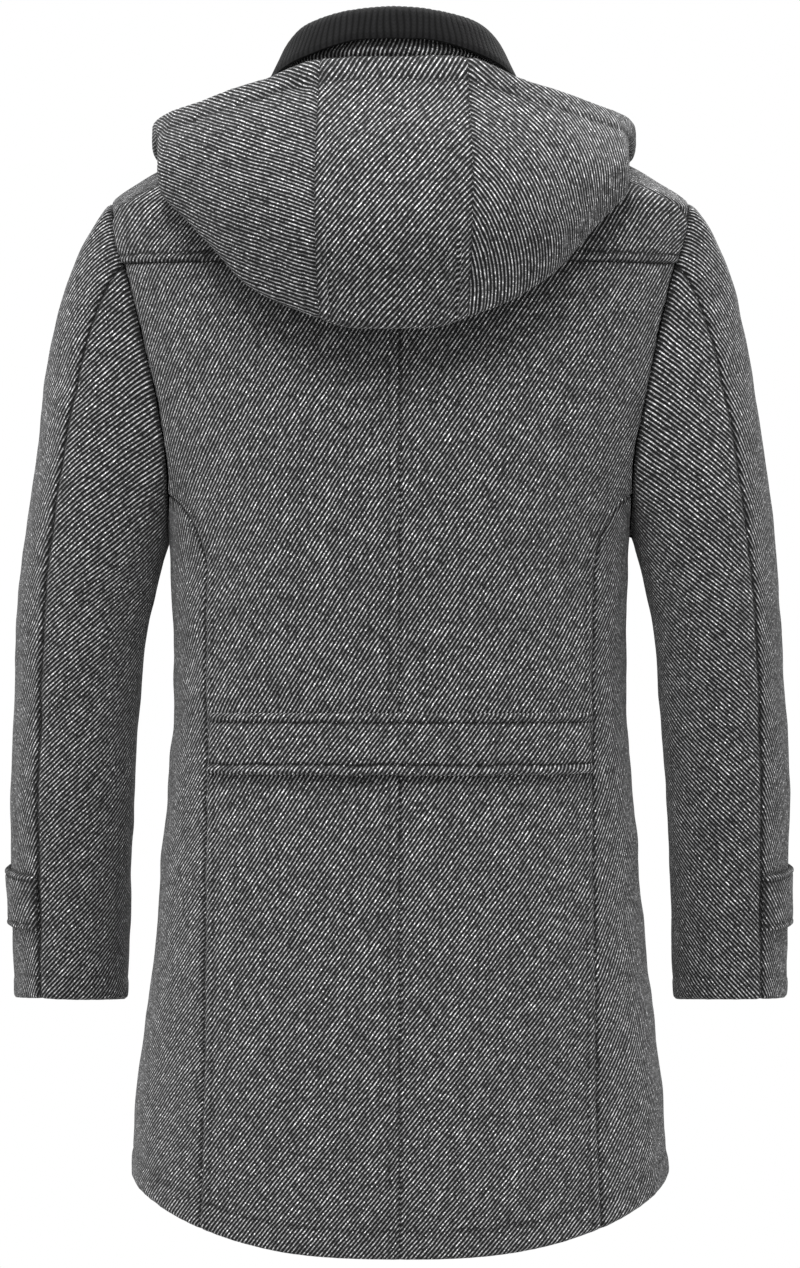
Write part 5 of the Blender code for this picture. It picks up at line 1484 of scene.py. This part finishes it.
def button_mesh(name, radius):
    """A turned four-hole button, its back at the origin and its face to +Z."""
    made = bmesh.new()
    add_tube(made, [[(out * radius * math.cos(turn), out * radius * math.sin(turn), up * BUTTON_THICKNESS)
                     for turn in turns(BUTTON_TURNS)] for out, up in BUTTON_PROFILE])
    button = add_object(name, mesh_of(made, name))
    holes = bmesh.new()
    out = HOLE_SPREAD * radius / FRONT_BUTTON_RADIUS
    for turn in turns(4, math.radians(45)):
        place = Matrix.Translation((out * math.cos(turn), out * math.sin(turn), HOLE_MIDDLE))
        bmesh.ops.create_cone(holes, cap_ends=True, segments=16, radius1=HOLE_RADIUS, radius2=HOLE_RADIUS,
                              depth=HOLE_DEPTH, matrix=place)
    cutter = add_object(name + "_holes", mesh_of(holes, name + "_holes"))
    cut = button.modifiers.new("holes", "BOOLEAN")
    cut.operation, cut.object = "DIFFERENCE", cutter
    result = bpy.data.meshes.new_from_object(button.evaluated_get(bpy.context.evaluated_depsgraph_get()))
    bpy.data.objects.remove(button)
    bpy.data.objects.remove(cutter)
    result.shade_smooth()
    result.set_sharp_from_angle(angle=math.radians(SHARP_BUTTON))
    result.materials.clear()
    result.materials.append(material("button"))
    return result


def thread_mesh(name, radius):
    """Two crossed bars of thread between a button's holes, down to its back."""
    made = bmesh.new()
    out = HOLE_SPREAD * radius / FRONT_BUTTON_RADIUS
    top = BUTTON_THICKNESS * THREAD_LEVEL
    up = Vector((0, 0, 1))
    for pair in (0, 1):
        turn = math.radians(45 + 90 * pair)
        way = Vector((math.cos(turn), math.sin(turn), 0))
        side = Vector((-way.y, way.x, 0))
        for strand in (-1, 0, 1):
            rings = []
            for t in np.linspace(-1, 1, THREAD_STEPS):
                arch = top + THREAD_ARCH * (1 - t * t) + THREAD_CROSSING * pair
                height = arch if abs(t) < 1 else BUTTON_THICKNESS * THREAD_IN_HOLE
                here = way * out * t + side * strand * THREAD_PITCH + Vector((0, 0, height))
                rings.append([here + (side * math.cos(roll) + up * math.sin(roll)) * THREAD_RADIUS
                              for roll in turns(THREAD_TURNS)])
            add_tube(made, rings)
    bmesh.ops.recalc_face_normals(made, faces=made.faces)
    mesh = mesh_of(made, name)
    mesh.shade_smooth()
    mesh.materials.append(material("thread"))
    return mesh


def button_meshes(name, radius):
    return button_mesh(name + "_button", radius), thread_mesh(name + "_thread", radius)


def place_button(name, at, facing, meshes):
    turn = Vector(facing).to_track_quat("Z", "Y").to_matrix().to_4x4()
    place = Matrix.Translation(Vector(at)) @ turn
    turned, thread = (mesh.copy() for mesh in meshes)
    for suffix, mesh, slot in (("_turned", turned, "button"), ("_thread", thread, "tweed")):
        mesh.transform(place)
        piece = add_object(name + suffix, mesh)
        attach(piece, "root")
        if suffix == "_turned":
            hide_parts(name)


def make_buttons():
    meshes = button_meshes("front", FRONT_BUTTON_RADIUS)
    for number in range(FRONT_BUTTONS):
        height = FRONT_BUTTON_TOP_Z - number * FRONT_BUTTON_PITCH
        normal = body_normal(FRONT, height)
        at = body_point(FRONT, height) + normal * BUTTON_SEAT
        place_button(f"front_button_{number + 1}", at, normal, meshes)
    meshes = button_meshes("cuff", CUFF_BUTTON_RADIUS)
    level = (TAB_TOP_LEVEL + TAB_BOTTOM_LEVEL) / 2
    around = TAB_END_ANGLE + CUFF_BUTTON_FROM_END
    along = sleeve_tube_point(around + 2, level) - sleeve_tube_point(around - 2, level)
    up = sleeve_tube_point(around, level + 0.004) - sleeve_tube_point(around, level - 0.004)
    normal = unit(np.cross(along, up))
    at = sleeve_tube_point(around, level) + normal * (TAB_LIFT + WALL + BUTTON_SEAT)
    place_button("cuff_button_left", at, normal, meshes)
    place_button("cuff_button_right", mirrored(at), mirrored(normal), meshes)


# ---------------------------------------------------------------- materials
class Shading:
    """A material's nodes, added one call at a time."""

    def __init__(self, name):
        self.material = bpy.data.materials.new(name)
        self.material.use_nodes = True
        self.tree = self.material.node_tree
        self.shader = self.tree.nodes["Principled BSDF"]

    def put(self, socket, value):
        if isinstance(value, bpy.types.NodeSocket):
            self.tree.links.new(value, socket)
        else:
            socket.default_value = value

    def node(self, kind, inputs=None, **settings):
        made = self.tree.nodes.new(kind)
        for key, value in settings.items():
            setattr(made, key, value)
        for key, value in (inputs or {}).items():
            self.put(made.inputs[key], value)
        return made

    def math(self, operation, *values):
        made = self.node("ShaderNodeMath", operation=operation)
        for socket, value in zip(made.inputs, values):
            self.put(socket, value)
        return made.outputs[0]

    def add(self, first, *others):
        for other in others:
            first = self.math("ADD", first, other)
        return first

    def times(self, first, *others):
        for other in others:
            first = self.math("MULTIPLY", first, other)
        return first

    def noise(self, where, scale, detail=2.0, roughness=0.5):
        """Noise centred on 0, from about -0.5 to 0.5."""
        inputs = {"Vector": where, "Scale": scale, "Detail": detail, "Roughness": roughness}
        return self.math("SUBTRACT", self.node("ShaderNodeTexNoise", inputs).outputs[0], 0.5)

    def step(self, value, low, high):
        """0 below low and 1 above high, smooth between them."""
        inputs = {"Value": value, "From Min": low, "From Max": high}
        return self.node("ShaderNodeMapRange", inputs, interpolation_type="SMOOTHSTEP").outputs[0]

    def from_middle(self, value):
        """0 in the middle between two whole numbers and 1 at each."""
        return self.math("ABSOLUTE", self.math("SUBTRACT", self.times(self.math("FRACT", value), 2.0), 1.0))

    def place(self):
        return self.node("ShaderNodeTexCoord").outputs["Object"]

    def flat(self):
        """The two places on the flat cloth."""
        places = self.node("ShaderNodeUVMap", uv_map="cloth").outputs[0]
        split = self.node("ShaderNodeSeparateXYZ", {0: places})
        return split.outputs[0], split.outputs[1]

    def combined(self, x, y):
        return self.node("ShaderNodeCombineXYZ", {0: x, 1: y}).outputs[0]

    def with_painted_shade(self, value, much):
        """The value, less where shade is painted on the cloth."""
        painted_shade = self.node("ShaderNodeAttribute", attribute_name="painted_shade").outputs["Fac"]
        return self.math("SUBTRACT", value, self.times(painted_shade, much))

    def colour(self, value, stops):
        """The colour at a value, of stops at values from 0 to 1."""
        made = self.node("ShaderNodeValToRGB", {"Fac": value})
        ramp = made.color_ramp
        while len(ramp.elements) < len(stops):
            ramp.elements.new(0.5)
        for element, (at, colour) in zip(ramp.elements, stops):
            element.position = at
            element.color = (*colour, 1)
        self.put(self.shader.inputs["Base Color"], made.outputs[0])

    def bump(self, height, strength, distance):
        inputs = {"Height": height, "Strength": strength, "Distance": distance}
        self.put(self.shader.inputs["Normal"], self.node("ShaderNodeBump", inputs).outputs[0])

    def finished(self, **values):
        """The material, once the shader's plain values are set."""
        for key, value in values.items():
            self.shader.inputs[key.replace("_", " ")].default_value = value
        return self.material


WALE_PITCH = 0.00265
WALE_SWAY = 0.0016
WALE_SIDES = (0.12, 0.76)  # where a wale's side begins and ends, from its middle in half pitches
SPECK_LEVELS = (0.17, 0.27)  # of the noise, where a white fibre begins and is whole
TWEED_RAMP = (
    (0.00, (0.0030, 0.0030, 0.0031)),
    (0.25, (0.0050, 0.0050, 0.0052)),
    (0.48, (0.0360, 0.0360, 0.0368)),
    (0.72, (0.2250, 0.2250, 0.2280)),
    (1.00, (0.8200, 0.8200, 0.8250)),
)
STITCH_SLANT = 0.55  # how much lower a stitch is at the rib's sides, in stitches
KNIT_RAMP = (
    (0.0, (0.0006, 0.0006, 0.0007)),
    (0.5, (0.0062, 0.0062, 0.0065)),
    (1.0, (0.0420, 0.0420, 0.0430)),
)
BUTTON_RAMP = ((0.3, (0.012, 0.011, 0.010)), (0.7, (0.050, 0.045, 0.040)))
THREAD_RAMP = ((0.3, (0.04,) * 3), (0.7, (0.12,) * 3))
FLOOR_RAMP = ((0.3, (0.66,) * 3), (0.7, (0.70,) * 3))


def tweed():
    """Coarse grey and white twill: unbroken slanting wales of uneven, grainy yarn over nearly black gaps."""
    s = Shading("tweed_cloth")
    along, across = s.flat()
    place = s.place()
    sway = s.noise(s.combined(s.times(along, 45.0), s.times(across, 60.0)), 1.0)
    wale = s.math("DIVIDE", s.add(across, s.times(sway, WALE_SWAY)), WALE_PITCH)
    ridge = s.math("SUBTRACT", 1.0, s.step(s.from_middle(wale), *WALE_SIDES))
    yarn = s.noise(s.combined(s.times(along, 330.0), s.times(s.math("FLOOR", wale), 7.7)), 1.0, 2.0, 0.6)
    fibre = s.noise(s.combined(s.times(along, 800.0), s.times(across, 2200.0)), 1.0, 2.0, 0.65)
    grain = s.noise(place, 1500.0, 2.0, 0.7)
    mottle = s.noise(place, 90.0, 3.0, 0.6)
    speck = s.step(s.noise(place, 760.0, 0.0), *SPECK_LEVELS)
    bright = s.add(s.times(yarn, 0.92), s.times(fibre, 0.35), s.times(speck, 0.30), 0.66)
    value = s.add(s.times(ridge, bright), s.times(grain, 0.40), s.times(mottle, 0.22), 0.03)
    # Painted shade of seams, stitching and the belt darkens the colour.
    s.colour(s.with_painted_shade(value, 0.55), TWEED_RAMP)
    s.bump(s.add(ridge, s.times(grain, 0.5), s.times(fibre, 0.4)), 0.9, 0.0007)
    return s.finished(Roughness=0.95, Sheen_Weight=0.08, Sheen_Roughness=0.5, Specular_IOR_Level=0.12)


def rib_knit():
    """Charcoal rib knit: columns of small V-shaped stitches on each rib."""
    s = Shading("rib_knit_cloth")
    rib, stitch = s.flat()
    place = s.place()
    unevenly = s.times(s.noise(place, 500.0, 1.0), 0.35)
    slant = s.add(stitch, s.times(s.from_middle(rib), STITCH_SLANT), unevenly)
    loop = s.math("SUBTRACT", 1.0, s.step(s.from_middle(slant), 0.3, 1.0))
    grain = s.noise(place, 1800.0, 2.0, 0.7)
    mottle = s.noise(place, 90.0)
    value = s.add(s.times(loop, 0.08), s.times(grain, 0.60), s.times(mottle, 0.25), 0.42)
    # Painted shade in the grooves between the ribs darkens the colour.
    s.colour(s.with_painted_shade(value, 0.70), KNIT_RAMP)
    s.bump(s.add(s.times(loop, 0.2), s.times(grain, 0.6)), 0.6, 0.0005)
    return s.finished(Roughness=0.95, Sheen_Weight=0.03, Sheen_Roughness=0.5, Specular_IOR_Level=0.15)


def button_finish():
    """Dark horn-like plastic, faintly clouded, with a soft gloss."""
    s = Shading("button_finish")
    place = s.place()
    s.colour(s.add(s.noise(place, 160.0, 4.0, 0.6), 0.5), BUTTON_RAMP)
    s.put(s.shader.inputs["Roughness"], s.add(s.times(s.noise(place, 900.0, 3.0), 0.16), 0.34))
    s.bump(s.noise(place, 1400.0), 0.12, 0.0002)
    return s.finished(Specular_IOR_Level=0.5)


def mottled(name, scale, detail, ramp, roughness):
    """A plain finish with slightly uneven colour."""
    s = Shading(name)
    s.colour(s.add(s.noise(s.place(), scale, detail), 0.5), ramp)
    return s.finished(Roughness=roughness)


def thread_finish():
    return mottled("thread_finish", 3000.0, 2.0, THREAD_RAMP, 0.8)


MATERIALS = {"tweed": tweed, "rib_knit": rib_knit, "button": button_finish, "thread": thread_finish}


@functools.cache
def material(kind):
    """One material for all pieces of a kind."""
    return MATERIALS[kind]()


# ---------------------------------------------------------------- camera, light and stage
CAMERA_DISTANCE = 2.8
CAMERA_LEVEL = -0.385
LENS = 104.6
LIGHTS = (  # name, place, size and power
    ("key", (0.45, 2.1, 3.1), 1.9, 262.0),
    ("front_key", (-0.6, -2.2, 3.0), 1.6, 175.0),
)
LIT_MIDDLE = Vector((0, 0, -0.35))
FLOOR_LEVEL = -1.48
FLOOR_RADIUS = 2.6


def make_studio():
    camera_data = bpy.data.cameras.new("camera")
    camera_data.lens, camera_data.sensor_width = LENS, 36.0
    camera = add_object("camera", camera_data)
    camera.location = (0.0, CAMERA_DISTANCE, CAMERA_LEVEL)
    camera.rotation_euler = (math.radians(90), 0, math.radians(180))
    bpy.context.scene.camera = camera
    world = bpy.data.worlds.new("studio")
    world.use_nodes = True
    world.node_tree.nodes["Background"].inputs["Color"].default_value = (1, 1, 1, 1)
    world.node_tree.nodes["Background"].inputs["Strength"].default_value = 1.0
    bpy.context.scene.world = world
    for name, place, size, power in LIGHTS:
        light_data = bpy.data.lights.new(name, "AREA")
        light_data.size, light_data.energy = size, power
        light = add_object(name, light_data)
        light.location = place
        light.rotation_euler = (LIT_MIDDLE - Vector(place)).to_track_quat("-Z", "Y").to_euler()
    bpy.ops.mesh.primitive_circle_add(vertices=96, radius=FLOOR_RADIUS, fill_type="NGON",
                                      location=(0, 0, FLOOR_LEVEL))
    floor = bpy.context.object
    floor.name = "studio_floor"
    floor.data.materials.append(mottled("floor_finish", 3.0, 3.0, FLOOR_RAMP, 0.9))
    bpy.context.scene.view_settings.view_transform = "Standard"


def main():
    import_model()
    make_studio()
    make_yoke()
    make_backs()
    make_sides()
    make_fronts()
    make_sleeves()
    make_collar_stand()
    make_knit_collar()
    make_hood()
    make_half_belt()
    make_cuff_tabs()
    make_buttons()


main()
